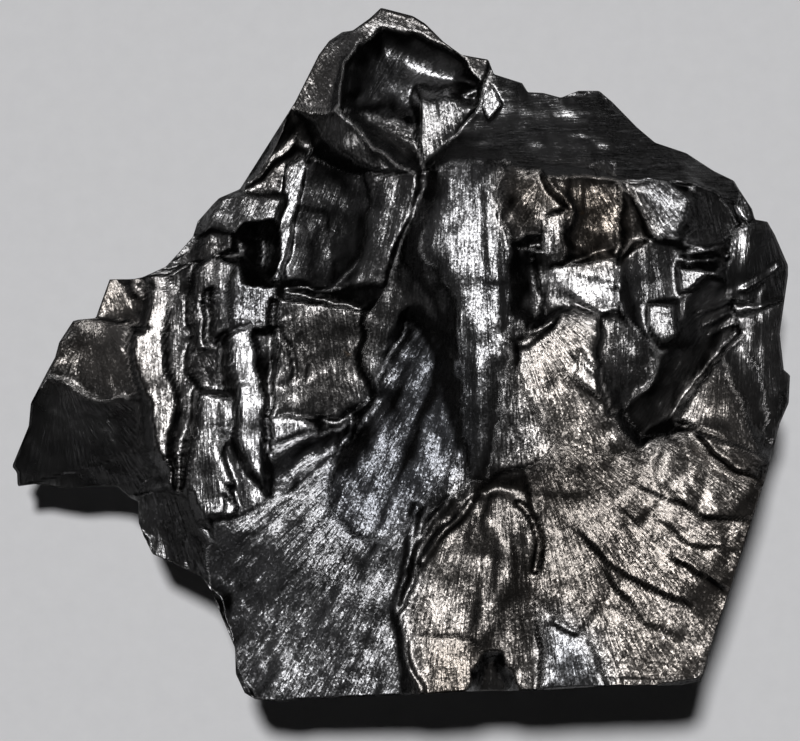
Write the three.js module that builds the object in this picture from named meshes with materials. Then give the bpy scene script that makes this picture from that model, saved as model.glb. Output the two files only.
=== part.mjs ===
// Anthracite hand specimen: one broken lump of hard, shiny coal.
//
// The lump is described the way it broke. Its upper side is a height over the plan outline, laid
// down as a sequence of break faces, each a patch with its own corner heights, hollow and edge.
// Ridges and small steps run across them. Its walls are the outline dropped to the ground, then
// cut back by flat splits and by shell-shaped (conchoidal) scars. It rests on one flat split.
//
// Millimetres, +Z up. The origin is below the middle of the lump, on the ground it rests on.

import * as THREE from "three";

// ---------------------------------------------------------------- driving dimensions

const GRID = 51; // points along each side of the grid that covers the upper side
const WALL_ROWS = 8; // rows of faces between the rim and the ground
const HEART = [4, -2.5]; // every part of the outline is in plain view from this point
const RIM_LEVEL = 30; // height at which the outline below is drawn
const DRAW_IN = 1 / 620; // how much the lump narrows for each millimetre it rises
const RIM_FADE = 4; // depth over which a wall leaves the outline

const COAL_COLOUR = 0x17171a;

// Plan outline at the rim, anticlockwise from the peak.
const OUTLINE = [
  [-3.1, 49.8], [-4.7, 48.3], [-7.2, 46.5], [-8.7, 46.3], [-10.6, 45], [-12.1, 43],
  [-15.5, 36.2], [-20.2, 28.8], [-23.5, 23.6], [-26.5, 22.3], [-27.4, 21.4], [-29.6, 18.9],
  [-30.3, 16.7], [-32.7, 14], [-34.2, 12.4], [-37.5, 10.9], [-39, 10.6], [-42.3, 10.6],
  [-44, 5.9], [-44.3, 5], [-47.5, 4.7], [-49.6, 1.5], [-50.2, -0.7], [-51.2, -2.5],
  [-53.7, -7.3], [-54, -10.6], [-56.4, -16.4], [-55.7, -17.3], [-55.6, -19.3], [-53.4, -18.9],
  [-50.8, -19.3], [-47.9, -19.7], [-45.3, -19.3], [-41.3, -19.3], [-39.4, -20.9], [-38.2, -21.5],
  [-38.1, -24.6], [-37.4, -26.5], [-36.1, -29.1], [-33.1, -30.4], [-29, -32.4], [-27.5, -34.6],
  [-26.1, -38.2], [-24.2, -42.7], [-24.1, -46.4], [-22.8, -49.2], [-21.3, -50.1], [-17.3, -50.5],
  [-15, -50.1], [-0.4, -49.5], [3.7, -49.4], [8.9, -49], [15.8, -48.9], [20.3, -48.8],
  [30.3, -48.2], [40.2, -48.1], [43.1, -47.5], [43.9, -45.6], [45, -40.8], [47.2, -34.6],
  [50.1, -25.4], [52.7, -17.3], [54.5, -10.3], [55.8, -7.3], [56, -3.3], [55.1, -2.5],
  [54.5, 2.7], [55.7, 11.1], [55.7, 12.6], [53.8, 17], [52.7, 18.9], [50.9, 19.2], [50.5, 20.7],
  [48.6, 23.6], [47.9, 24.8], [45, 26.2], [41, 28.8], [36.5, 30.3], [33.9, 32.5], [30.3, 36.2],
  [28.4, 37.8], [25.4, 37.8], [22.9, 36.8], [20.3, 37.5], [18.1, 37.6], [17.3, 38.9],
  [13.2, 40.2], [12.4, 42.3], [8.5, 43], [5.9, 44.9], [3.3, 47.5], [1.5, 48.6], [-0.4, 49.1],
];

// Break faces of the upper side, in the order they are laid. Corners are [x, y, height]; sag is
// how far the middle bulges (+) or is hollow (-), reached at `reach` in from the edge; soft sets
// the bank at its edge: the smaller it is, the more abruptly the neighbours may rise or fall.
const FACES = [
  // ground
  { sag: 0, reach: 3, soft: 8, corners: [
    [-3, 49.8, 33], [-12, 43, 34], [-15.5, 36.2, 36], [-23.5, 23.6, 33], [-30.3, 16.7, 30.5],
    [-37.5, 10.9, 29], [-42.3, 10.6, 27], [-47.5, 4.7, 26], [-53.7, -7.3, 23],
    [-56.4, -16.4, 19], [-55.6, -19.3, 19], [-45, -19.3, 21], [-38.2, -21.5, 24.4],
    [-36.1, -29.1, 25], [-27.5, -34.6, 29], [-24.2, -42.7, 31], [-21.3, -50.1, 34],
    [0, -49.5, 37], [20, -48.8, 38.4], [43, -47.5, 38.6], [47.2, -34.6, 39], [52.7, -17.3, 36.6],
    [56, -3.3, 34], [54.5, 2.7, 34], [55.7, 12.6, 33.6], [50.9, 19.2, 34], [45, 26.2, 34.4],
    [36.5, 30.3, 34.4], [28.4, 37.8, 33.6], [20.3, 37.5, 34], [12.4, 42.3, 34.4]] },
  // lobe rim
  { sag: 0, reach: 3, soft: 3, corners: [
    [-16, 36, 36.4], [-12.5, 44, 35.6], [-7.2, 47, 35.2], [-3, 50, 34.4], [2, 48.8, 34.2],
    [8, 43.5, 34], [13, 42.5, 33], [13.5, 39, 34.4], [9, 38, 35.6], [0, 46, 35.4],
    [-6, 45.5, 36.6], [-9, 42, 37.4], [-9.6, 35, 39.4]] },
  // bowl
  { sag: -3.2, reach: 5, soft: 3, corners: [
    [-9.3, 42, 37.6], [-7, 45, 36.2], [-3, 46.8, 34.6], [1, 46.3, 34], [5, 44, 33.6],
    [9, 42, 33.1], [11, 38.5, 34], [6, 36.6, 35.9], [3, 33, 36.7], [-2, 32, 37.3],
    [-6, 32, 39.4], [-9.5, 35, 40.4]] },
  // lobe low
  { sag: 0, reach: 3, soft: 2, corners: [
    [-10, 34.4, 40.1], [-6.5, 34, 38.2], [-1, 33.3, 37], [2.8, 32, 36.8], [3, 26.6, 39],
    [2, 25.9, 41], [-1, 26.8, 40.9], [-5, 30, 40.4]] },
  // tongue
  { sag: 0.5, reach: 3, soft: 1.2, corners: [
    [2.6, 36.2, 37.6], [6, 37.1, 37.2], [10.6, 36, 36.6], [9.4, 31.5, 37.2], [5.4, 27.4, 38.4],
    [3.2, 26.6, 38.8], [2.2, 31, 38.2]] },
  // band
  { sag: 0.3, reach: 5, soft: 2, corners: [
    [10.6, 36, 36], [12.8, 42, 34.6], [18, 38, 34.4], [23, 37, 34], [28.4, 38, 33],
    [33.9, 33, 34], [41, 29, 34.4], [47.5, 25.3, 34], [50, 19.6, 33.6], [45.8, 22.3, 36.8],
    [41, 24.8, 39.4], [36, 25.1, 40.4], [30, 25, 41], [24, 25.3, 41.4], [18, 26, 41.8],
    [14, 28.6, 41.6], [9, 27.4, 40.8], [5, 26.2, 39.4], [8.5, 30.5, 37.4]] },
  // fleck a
  { sag: 0, reach: 3, soft: 1.2, corners: [
    [11.5, 38.2, 35.6], [13, 38.6, 35.4], [14.2, 36.5, 35.4], [12.2, 34.3, 35.8],
    [11.2, 36, 35.8]] },
  // fleck b
  { sag: 0, reach: 3, soft: 1.6, corners: [
    [26.6, 27.3, 40], [28, 28.1, 39.7], [30.4, 27.9, 39.6], [30, 25.2, 40.8], [27.5, 25.3, 40.9]] },
  // scoop wall
  { sag: 0, reach: 3, soft: 1.2, corners: [
    [-16, 36.2, 37], [-12.3, 34.6, 39], [-9.5, 34, 39.8], [-5, 30, 40.4], [-1, 26.8, 40.7],
    [2.4, 25.9, 41], [-2, 22, 40.3], [-8, 23, 38.8], [-14, 27.5, 36.8], [-14, 31, 37.2]] },
  // wedge
  { sag: -0.6, reach: 2, soft: 1.4, corners: [
    [-24, 23.8, 33.6], [-20, 29, 35.1], [-16, 36.2, 37.9], [-13.8, 31.3, 34.6],
    [-14.4, 28.6, 33.5], [-17.3, 26, 34], [-17.6, 22.6, 34.5], [-20, 23.3, 34.2]] },
  // scoop dark
  { sag: -0.5, reach: 4, soft: 4, corners: [
    [-14.4, 28.4, 33.2], [-8, 25.4, 36.6], [-5.5, 25, 38], [-5.5, 18, 38], [-7.5, 12, 37.2],
    [-9.5, 8, 36.2], [-17.6, 9.3, 31.2], [-16.4, 18, 31.4], [-15.6, 24, 32]] },
  // scoop plate
  { sag: 0.3, reach: 3, soft: 0.9, corners: [
    [-6, 25.4, 37.8], [2.5, 25.8, 41.5], [1.6, 19, 41.4], [-0.4, 13, 40.2], [-2.5, 8.5, 38.9],
    [-9.5, 8.4, 36], [-7.5, 12, 36.9], [-5.6, 18, 38]] },
  // scoop gutter
  { sag: 0, reach: 3, soft: 2, corners: [
    [-17.7, 9.6, 33], [-9.5, 8.8, 36.3], [-2.4, 9, 38.6], [-3.3, 5.2, 35.2], [-8, 6, 33.4],
    [-17.2, 7.4, 31.5]] },
  // scoop strip
  { sag: 0, reach: 3, soft: 1, corners: [
    [-14.6, 28.6, 33.3], [-15.4, 24, 33.4], [-16.2, 18, 33.7], [-17.4, 10, 34.1],
    [-19.7, 11, 34], [-18.7, 17, 33.7], [-17.7, 22, 33.6], [-17.3, 27, 33.5]] },
  // left plate
  { sag: 0.3, reach: 2, soft: 1.1, corners: [
    [-27.3, 22, 34.1], [-24, 23.4, 34.8], [-18.2, 22.6, 36.2], [-19.1, 17, 36.3],
    [-20.3, 14, 36.1], [-25, 16.6, 35.1], [-29.3, 18.4, 33.4]] },
  // upper left dark
  { sag: 0, reach: 3, soft: 2, corners: [
    [-30.4, 16.8, 30.3], [-28.6, 18, 32.6], [-26, 16.6, 34], [-25.6, 12.5, 34.3],
    [-28, 11, 32.8], [-31.8, 13, 30.4], [-33, 14, 29.5]] },
  // rib ground
  { sag: 0.3, reach: 3, soft: 2.5, corners: [
    [-37.5, 10.9, 30.1], [-30.6, 13.6, 30.4], [-25, 13.8, 32.6], [-20.5, 12, 32.8],
    [-18, 8, 33.2], [-18.4, 0, 33.3], [-19.3, -9, 33.9], [-19, -20.5, 34], [-24, -24, 33.3],
    [-30, -24.4, 32.2], [-31.4, -20, 30.2], [-34, -20, 29.6], [-37.4, -15, 30.9],
    [-39.4, -6, 31.2], [-38.4, 3, 30.6]] },
  // rib 1
  { sag: 0.1, reach: 1.3, soft: 1.1, corners: [
    [-37.4, 10.7, 30.6], [-34, 11.5, 30.6], [-33.6, 4, 31.2], [-33.4, -4, 31.6],
    [-33.3, -10, 31.9], [-33, -15, 32.1], [-31.6, -19.9, 32.2], [-33.3, -20.3, 32.3],
    [-37.2, -15.5, 32.1], [-38.4, -10, 31.9], [-39, -5, 31.7], [-38, 0, 31.6], [-37.6, 5, 31.2]] },
  // gully 1
  { sag: 0, reach: 3, soft: 1.2, corners: [
    [-33.7, 11.6, 31], [-31.6, 13.1, 31.2], [-30.1, 9, 30], [-29.9, 2, 29.6], [-30.3, -2, 29.6],
    [-30.5, -8, 29.4], [-30.6, -14, 29], [-31.4, -19, 28.4], [-33, -15, 30.4], [-33.4, -4, 31]] },
  // strip 2
  { sag: 0.1, reach: 1, soft: 1, corners: [
    [-30, 12, 32.7], [-27.6, 14.6, 33.6], [-27.2, 8, 33.8], [-28.2, 2, 33.2], [-28.3, 1, 33],
    [-30, 0.6, 32.4], [-30, 6, 32.6]] },
  // slot 2
  { sag: 0, reach: 3, soft: 0.9, corners: [
    [-28.2, 9, 32.2], [-27.2, 9, 32], [-26.6, 2.2, 31.2], [-28.1, 2.2, 31.4]] },
  // strip 3
  { sag: 0.1, reach: 1, soft: 1.1, corners: [
    [-27, 14, 34.2], [-25.4, 12, 34.5], [-24.9, 6, 34.4], [-24.5, 2.3, 34.3], [-26.9, 2.1, 33.6],
    [-27, 8, 33.9]] },
  // shelf
  { sag: -0.4, reach: 2, soft: 1.3, corners: [
    [-30.2, 0.8, 32.2], [-26, 1.2, 33.1], [-26, -3, 32.8], [-26.1, -6, 31.8], [-29.6, -6, 31.2],
    [-31, -3, 31.4]] },
  // slot 4
  { sag: 0, reach: 3, soft: 0.9, corners: [
    [-25.9, 2, 32], [-24.3, 2.3, 31.5], [-24.1, -6.2, 29.8], [-26, -6.2, 29.3]] },
  // smooth plate
  { sag: 0.15, reach: 1.2, soft: 1, corners: [
    [-30.2, -6.7, 33.4], [-24.1, -6.4, 34.2], [-25, -12, 34.3], [-25.6, -22, 34.4],
    [-27.3, -24.4, 34], [-29.6, -24.2, 33.2], [-30.4, -21, 32.8], [-30.3, -14, 33.2]] },
  // bright strip a
  { sag: 0.05, reach: 0.6, soft: 1.2, corners: [
    [-27.1, -11, 33.8], [-25.8, -11, 33.9], [-24.6, -18.6, 34.4], [-25.6, -19, 34.3]] },
  // bright strip b
  { sag: 0.05, reach: 0.6, soft: 1.2, corners: [
    [-26.1, -20.5, 33.7], [-25.1, -21, 33.9], [-24.7, -24.2, 34.3], [-25.8, -23.6, 34.1]] },
  // streaks
  { sag: 0.3, reach: 1.5, soft: 2, corners: [
    [-25.2, 12.2, 34.8], [-20.6, 11.6, 35.5], [-17.9, 9.5, 35.3], [-18.4, 3, 35.5],
    [-21.5, 3.2, 35.1], [-24.3, 2.4, 34.1]] },
  // bright big
  { sag: 0.15, reach: 1.6, soft: 1.4, corners: [
    [-24.2, 1.6, 35], [-21.3, 3, 35.1], [-20.4, -3, 35.3], [-19.9, -9, 35.6], [-19.8, -14, 35.8],
    [-18.8, -20.6, 36], [-21.2, -17.5, 35.9], [-23, -13, 35.7], [-24, -7, 35.4]] },
  // hole
  { sag: -0.3, reach: 1.5, soft: 2, corners: [
    [-24.5, 15, 32.4], [-22.5, 16.2, 30.4], [-20.7, 15.6, 29], [-20.3, 12.4, 29.4],
    [-21.5, 11.8, 30.6], [-24, 13.2, 32.4]] },
  // block wedge
  { sag: -0.5, reach: 2, soft: 1.5, corners: [
    [-42.5, 10.7, 26.5], [-40, 10.8, 27], [-37.6, 11, 28], [-37.6, 3.4, 28.6], [-39, 4.6, 28.2],
    [-44, 5, 26.3]] },
  // block white
  { sag: 0, reach: 3, soft: 1.2, corners: [
    [-39.4, 10.9, 28.4], [-37.7, 11, 28.3], [-37.5, 7.3, 28.5], [-38.8, 8.6, 28.7]] },
  // block fan
  { sag: 0.3, reach: 2, soft: 1.6, corners: [
    [-47.5, 4.6, 26.3], [-44, 5, 27.3], [-38.7, 3.4, 29.7], [-38.8, -6, 29.2], [-41, -7, 28],
    [-46, -6.2, 26.2], [-50.6, -3, 24.2], [-49.6, 1.4, 25]] },
  // block black
  { sag: -1, reach: 4, soft: 3, corners: [
    [-50.8, -3.2, 25], [-46, -6.2, 27], [-41, -7, 28.6], [-39, -8, 29], [-38.2, -14, 28.4],
    [-37, -18, 26.6], [-38.6, -22.5, 22.6], [-45, -21.5, 20], [-57.5, -21.5, 18.4],
    [-58, -16.4, 19.2], [-54.5, -7, 23.4]] },
  // under block
  { sag: -0.5, reach: 3, soft: 1.4, corners: [
    [-38.4, -21.3, 25], [-34, -20, 28.4], [-30.5, -20.8, 30.5], [-29.6, -24.5, 31],
    [-27, -28, 31.8], [-26.8, -34.5, 29.6], [-29, -32.6, 28], [-36, -29.4, 25],
    [-38.3, -24.5, 24.6]] },
  // plate 5
  { sag: 0.2, reach: 2, soft: 1, corners: [
    [-17.4, 7.5, 36.9], [-8, 6.1, 35.6], [-4.4, 5.1, 35], [-2.6, 1, 33.6], [-4.6, -6, 32.7],
    [-10, -9.3, 33], [-18.6, -9.3, 34.9], [-18.2, 0, 36]] },
  // channel
  { sag: -0.3, reach: 2, soft: 3, corners: [
    [2.6, 26.2, 39.4], [1.6, 19, 39.4], [-0.4, 13, 38.8], [-2.5, 8.5, 37.8], [-4.6, 4, 36.4],
    [-4.8, -6, 34.4], [1, -2, 37.4], [7, -2, 42], [7, 5, 43], [5, 10, 43], [3.3, 15, 42.4],
    [3.1, 20, 42.2], [5.5, 26.4, 41]] },
  // saddle
  { sag: -0.2, reach: 3, soft: 4, corners: [
    [13.6, 8, 45], [17, 8, 44], [17, 2.6, 44.6], [24.6, 6.4, 43.5], [28, 5, 43.5],
    [28, -4, 44.2], [27, -14.4, 43.2], [21, -12.6, 43.8], [18, -17, 43], [12.6, -19, 42.4],
    [14, -13, 44], [14.4, -7, 44.8], [14, 3, 45.1]] },
  // ridge foot
  { sag: -0.2, reach: 2, soft: 4, corners: [
    [7, 5, 43.8], [8.6, -2, 44], [9, -8, 43.8], [9.2, -14, 42.8], [9, -19.2, 41.4],
    [2.6, -24.6, 38.8], [-1, -27.4, 38.3], [1, -24, 39], [4.5, -19, 40.3], [7.4, -13, 41.6],
    [7, -3, 42.4]] },
  // crumble
  { sag: 0.3, reach: 3, soft: 5, corners: [
    [0.5, 4, 36.4], [5.4, 2, 40], [7.2, -3, 41.8], [7.8, -9, 41.8], [8, -14, 41.4],
    [4.5, -19, 40.4], [1, -24, 39.2], [-5, -30, 37.4], [-11, -31, 36], [-12, -24, 34.8],
    [-10.6, -18, 34], [-7.6, -12, 34], [-5, -7, 34.4], [-2.4, -1, 35]] },
  // bright 5
  { sag: 0.2, reach: 1, soft: 2, corners: [
    [-18.6, -9.3, 34.8], [-14.5, -9.2, 34.6], [-12.6, -11.5, 34.4], [-16, -13.6, 34.9],
    [-18.8, -13, 35]] },
  // lower left
  { sag: 0.4, reach: 4, soft: 4, corners: [
    [-27, -24.3, 32.4], [-19, -20.8, 34], [-18.6, -13.6, 34.6], [-12.6, -11.6, 34],
    [-9, -10.6, 33.8], [-10.6, -17, 34], [-11, -23, 34.9], [-8, -27, 36.3], [-3, -28.4, 37.9],
    [2.4, -24.6, 39.1], [3, -30, 38.8], [0.6, -38, 38], [2.5, -50, 37.4], [-10, -50.6, 35.4],
    [-21, -50.6, 32.8], [-24, -46, 31.4], [-24.6, -42.5, 30.4], [-26.3, -37.5, 29.2],
    [-27.6, -34, 28.6], [-27.2, -28, 31]] },
  // ridge
  { sag: 1, reach: 3.5, soft: 3.6, corners: [
    [5.6, 26.3, 42], [3.1, 20, 43], [3.4, 15, 43.5], [5, 10, 44], [7, 5, 44.6], [7.6, -2, 44.7],
    [8.3, -8, 44.2], [8.6, -14, 43], [8.6, -19, 41.4], [12.6, -19, 41.6], [14.4, -13, 43.2],
    [15, -7, 44.6], [14.6, 3, 45.3], [16.6, 9, 44.6], [15, 15, 45], [12.6, 22, 44.6],
    [14, 28.4, 42.6], [10, 27.2, 42.4]] },
  // fan
  { sag: -0.4, reach: 3, soft: 4, corners: [
    [14, 28.5, 42.2], [18, 26, 42], [21, 25.3, 41.6], [24.9, 19.4, 42.4], [22, 17, 43.8],
    [18, 16.6, 45], [15, 15, 46.1], [12.6, 22, 45.2]] },
  // brown 5
  { sag: -0.6, reach: 2.5, soft: 2.5, corners: [
    [21, 25.4, 43.9], [30, 25, 41.5], [32, 24.7, 40.8], [32.6, 21.5, 40.3], [31, 18, 41],
    [30.6, 14.6, 40.5], [29.6, 13.4, 37.9], [24.4, 13, 40.3], [24.8, 19.4, 43.8]] },
  // spot
  { sag: 0.2, reach: 1, soft: 2.4, corners: [
    [21.2, 19, 43.4], [24, 19.6, 43.4], [24.3, 14.5, 43.1], [23, 12.2, 43.4], [21, 15, 43.4]] },
  // pit
  { sag: -0.6, reach: 1.8, soft: 1.6, corners: [
    [15.8, 14.7, 43.5], [18.7, 14.6, 43], [19.2, 12, 40.5], [20.8, 8, 40.5], [19, 5.2, 41.2],
    [16.4, 5.8, 42.4]] },
  // around pit
  { sag: -0.3, reach: 1.5, soft: 3, corners: [
    [19, 14.8, 43.6], [21.2, 14.6, 43.6], [23, 12, 43], [25.4, 8, 42.8], [24.6, 6.4, 42.6],
    [20.6, 5.9, 42.4], [21.2, 8.2, 41.4], [19.6, 12, 41.6]] },
  // bright facet
  { sag: 0.2, reach: 2, soft: 1.3, corners: [
    [22.4, 11.7, 41.8], [24.5, 12.9, 41.9], [29.8, 13.8, 42], [30.4, 9, 42.8], [31.2, 6, 43.4],
    [28.9, 5.2, 43.6], [25.4, 8, 42.8]] },
  // smooth face
  { sag: 0.3, reach: 3, soft: 3.5, corners: [
    [15.6, 2.4, 43.4], [19, 2.7, 43.4], [22, 4, 43.3], [25, 6.4, 42.8], [28.6, 5, 43.3],
    [28, 0, 43.8], [29, -4, 44.3], [30, -9, 43.8], [33.4, -14, 42.5], [27, -14.6, 42.8],
    [21, -12.6, 43.4], [18.6, -7, 44.1], [16.6, -2, 44.1]] },
  // bright tri
  { sag: 0, reach: 1, soft: 2.5, corners: [
    [24.6, 0.2, 43.7], [28.8, -3, 44.3], [28.6, -6.8, 44.9], [24.6, -3.6, 44.3]] },
  // right slope
  { sag: -0.5, reach: 2, soft: 3.5, corners: [
    [28.4, 5.4, 43.1], [31.2, 6.2, 43], [34, 3, 42.2], [36.6, -1.4, 40.9], [35.2, -5.5, 39.6],
    [32, -8.6, 41.4], [30, -9, 42.8], [28.9, -4, 43.5], [28, 0, 43.2]] },
  // right mid
  { sag: -0.5, reach: 3, soft: 3, corners: [
    [30.5, 14.6, 41.8], [33, 16.2, 41.1], [37, 15.6, 39.9], [41, 15.6, 38.7], [45.2, 16.6, 35.9],
    [47.6, 14, 33], [45.5, 10.8, 36.3], [42, 8, 39.2], [40.2, 3, 39.7], [37, -1.4, 40.5],
    [34, 3, 42.4], [31.2, 6.3, 43.9], [30.4, 9, 43.4]] },
  // mid facet a
  { sag: 0.2, reach: 1.2, soft: 2.4, corners: [
    [35.8, 7, 41.4], [39.8, 6.2, 41.2], [39.2, 2, 41.6], [37, 0, 41.6], [35.6, 3.4, 41.8]] },
  // mid facet b
  { sag: 0.1, reach: 1, soft: 2, corners: [
    [40.2, 12.2, 39.8], [43.5, 11.6, 40], [46, 10.8, 40], [43, 8.9, 40.1], [41, 8.3, 40.1]] },
  // sliver
  { sag: 0, reach: 3, soft: 1.2, corners: [
    [40.4, 14, 39.4], [42, 16, 39.4], [45.3, 17.7, 38.8], [45.1, 16.2, 38.9], [42.5, 14.8, 39.3]] },
  // brown slope
  { sag: -0.7, reach: 1.5, soft: 3, corners: [
    [30.6, 24.6, 41.6], [32.6, 22.4, 41], [35.2, 18.6, 40.4], [37.2, 15.9, 39.6],
    [33, 16.2, 38.6], [30.9, 14.6, 39.6], [30.8, 20, 41]] },
  // oval
  { sag: 0.4, reach: 2, soft: 2.2, corners: [
    [32, 24.6, 41], [37, 24.8, 40.9], [40.6, 22.6, 41], [41.7, 19, 41.2], [40.3, 16, 41.3],
    [37.3, 15.9, 41.1], [35, 19, 41.2], [32.7, 21.8, 41.2]] },
  // crescent
  { sag: -0.6, reach: 2, soft: 2, corners: [
    [41.4, 24.7, 39.4], [45.7, 22.7, 37], [47.8, 19, 35.4], [46.2, 16.8, 36.4],
    [43.5, 15.9, 38.2], [40.9, 15.6, 39.4], [42, 19, 38.8]] },
  // slim
  { sag: 0, reach: 3, soft: 1.2, corners: [
    [48.4, 23.2, 34.4], [50.6, 20.7, 34], [51, 19.2, 34], [49, 18.5, 35], [47.6, 20.8, 35.2]] },
  // knob
  { sag: 0.3, reach: 3, soft: 1.2, corners: [
    [47.6, 18.2, 35.4], [51, 19.4, 33.4], [54, 17.3, 32.2], [56, 12.6, 31.4], [55.9, 8, 31.4],
    [51, 5.8, 34], [47.8, 8, 35.4], [46.6, 12, 36.4]] },
  // scoop r
  { sag: -0.5, reach: 2, soft: 1.1, corners: [
    [44.7, 10.5, 37.5], [41.5, 7.2, 40], [40, 2.5, 40.2], [36.8, -2, 40.4], [35, -5.5, 40.4],
    [31.8, -8.5, 41.6], [34, -12.4, 40.4], [38, -12.4, 38], [40.5, -9.9, 36.4], [43, -7, 35.6],
    [46.6, -0.4, 34.8], [48.3, 4.5, 34.6], [47.8, 9, 35.2]] },
  // right ridge
  { sag: 0.2, reach: 2, soft: 1.5, corners: [
    [48.4, 5, 35.4], [51, 5.8, 34.6], [55.9, 7.9, 32.6], [54.8, 2.7, 33.2], [55.4, -2.5, 33.4],
    [56.2, -3.3, 33.4], [56, -7.3, 33.6], [54.8, -10.4, 34.4], [54, -13, 35.4],
    [51.3, -12.6, 37], [51.2, -6, 36.4], [50, -1, 35.8]] },
  // scoop s
  { sag: -0.2, reach: 1, soft: 1.1, corners: [
    [47, 0.8, 37.2], [49, 2.6, 35.8], [50.4, -1, 35.8], [51.6, -5, 36], [51.7, -10, 36.4],
    [50.9, -14, 37.4], [49.4, -11.6, 38.2], [48.2, -5.6, 37.8]] },
  // triangle
  { sag: 0.2, reach: 1.5, soft: 1.1, corners: [
    [46.9, 0.6, 37], [40.2, -10.2, 40.4], [44, -11.8, 40.3], [47, -13.7, 39.9], [51.2, -16, 39],
    [49.6, -11.4, 38.6], [48.2, -5.6, 37.7]] },
  // plume
  { sag: 0.4, reach: 7, soft: 4, corners: [
    [21, -12.4, 43.6], [27, -14.4, 43.1], [33.4, -13.8, 42.4], [38, -12.4, 41], [42, -12, 40.4],
    [47, -14, 40.2], [51.4, -16.2, 39.2], [53, -17.6, 38], [50.4, -25.4, 39.6],
    [47.5, -34.6, 40.4], [45.3, -40.8, 40.6], [43.4, -47.6, 40.6], [30, -48.6, 41],
    [20, -49.2, 40.4], [19.6, -38, 40.8], [19.8, -30, 41], [19.6, -23, 41.6], [18, -17, 42.8]] },
  // lobe a
  { sag: 0.5, reach: 2.5, soft: 2.4, corners: [
    [37.4, -12.6, 41], [41.4, -13, 40.4], [46, -16.8, 40], [50.8, -19.8, 39.4],
    [50.4, -23.4, 39.4], [46, -24, 40.2], [41, -22.2, 41], [37, -19.8, 41.6], [35.4, -16, 41.9]] },
  // bottom folds
  { sag: 0.3, reach: 3, soft: 5, corners: [
    [2.6, -24, 38.9], [8.6, -19, 41.3], [12.6, -19, 42], [18, -17, 42.7], [19.8, -23, 41.5],
    [19.8, -30, 40.9], [19.6, -38, 40.5], [19.8, -49.4, 40.2], [2.2, -50, 39.2],
    [0.8, -38, 38.8], [3, -30, 38.8]] },
  // toe
  { sag: 0.2, reach: 1.5, soft: 3, corners: [
    [3.6, -41, 39.2], [9, -41.4, 39.6], [12.4, -44.4, 39.9], [10.4, -48, 39.9],
    [9.6, -49.6, 39.8], [4.4, -50, 39.3]] },
  // arch
  { sag: -1, reach: 1.2, soft: 1.3, corners: [
    [10.4, -47.8, 37.6], [12.2, -44.4, 38.6], [13.6, -44.2, 38.6], [16.2, -49.4, 36.8],
    [10.4, -49.8, 36]] },
  // grey
  { sag: 0.3, reach: 2.5, soft: 4.5, corners: [
    [20.4, -36, 40.8], [23, -36.6, 40.9], [27, -41, 41], [29.6, -48.7, 41.2],
    [20.2, -49.4, 40.6]] },
];

// Ridges (+) and grooves (-) along lines.
const RIBS = [
  { rise: 0.6, width: 0.6, line: [[-22.4, 24.7], [-19.6, 28], [-16.6, 30.2], [-14.8, 29.4], [-14.3, 28]] },
  { rise: 0.45, width: 0.5, line: [[-12.3, 34.7], [-9.6, 34.1], [-5, 30], [-1, 26.8], [2.4, 25.9]] },
  { rise: 0.7, width: 0.6, line: [[14.5, 2.2], [17, 2.1], [19.5, 2.9], [21.5, 4.2], [23, 6.2]] },
  { rise: 0.4, width: 0.4, line: [[24.2, -0.3], [27.8, -3.3]] },
  { rise: 0.5, width: 0.4, line: [[49.4, 8.8], [51.5, 10.8], [53.6, 12.3]] },
  { rise: 0.5, width: 0.3, line: [[44, 5.4], [47.6, 7]] },
  { rise: 0.5, width: 0.3, line: [[44.6, 4.2], [48, 5.6]] },
  { rise: 0.4, width: 0.3, line: [[45.2, 3], [48, 4.2]] },
  { rise: -1.6, width: 0.45, line: [[16.8, -22.4], [19.1, -24], [19.8, -27.5], [19.2, -31.2]] },
  { rise: 1.3, width: 2.6, line: [[12.6, -25.5], [14.6, -29], [14.2, -35], [11, -41]] },
  { rise: -1.5, width: 1.8, line: [[11.4, -20.8], [14, -19.8], [16.6, -20.6]] },
  { rise: -2, width: 2.4, line: [[-9, -12.6], [-12.6, -15], [-16.6, -18.6]] },
  { rise: 0.9, width: 0.7, line: [[8.6, -22], [6, -25.4], [4.4, -28.4], [3, -31]] },
  { rise: 0.8, width: 0.6, line: [[6, -21.4], [3.4, -25], [1.8, -28.4], [0.4, -32]] },
  { rise: 0.9, width: 0.7, line: [[1.2, -22.8], [0.8, -30], [0, -37], [1.4, -44.4], [3.3, -49]] },
  { rise: -1.5, width: 0.4, line: [[-18.4, 7.2], [-18.6, 0], [-19.4, -8], [-19.2, -15]] },
  { rise: -0.8, width: 0.3, line: [[-17.6, 3.4], [-15.8, -4]] },
  { rise: -0.5, width: 0.3, line: [[-14.6, 2], [-13.6, -4]] },
];

// Hackle steps: raised on the left of the line, fading away from it.
const STEPS = [
  { rise: 0.7, fade: 3, line: [[33.4, -19], [37.2, -21.4], [43.2, -22.6]] },
  { rise: 0.9, fade: 3, line: [[43.6, -22.8], [50, -24]] },
  { rise: 0.7, fade: 3, line: [[36.4, -25], [41.6, -27.2], [48.2, -28]] },
  { rise: 0.6, fade: 3, line: [[30.6, -23], [35, -25.8]] },
  { rise: 1.2, fade: 4, line: [[38.6, -29.3], [43, -31.6], [47.4, -34]] },
  { rise: 1.1, fade: 4, line: [[23.4, -23.6], [30.6, -31.6], [38, -35.2], [44.4, -37.8]] },
  { rise: 0.7, fade: 3, line: [[28.4, -30], [34.4, -39.4], [40.2, -41.6]] },
  { rise: 0.7, fade: 3, line: [[21.6, -37.6], [26, -41]] },
  { rise: 1.8, fade: 3, line: [[41.5, -11.4], [45.9, -15.6], [51.2, -19.4]] },
];

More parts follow.
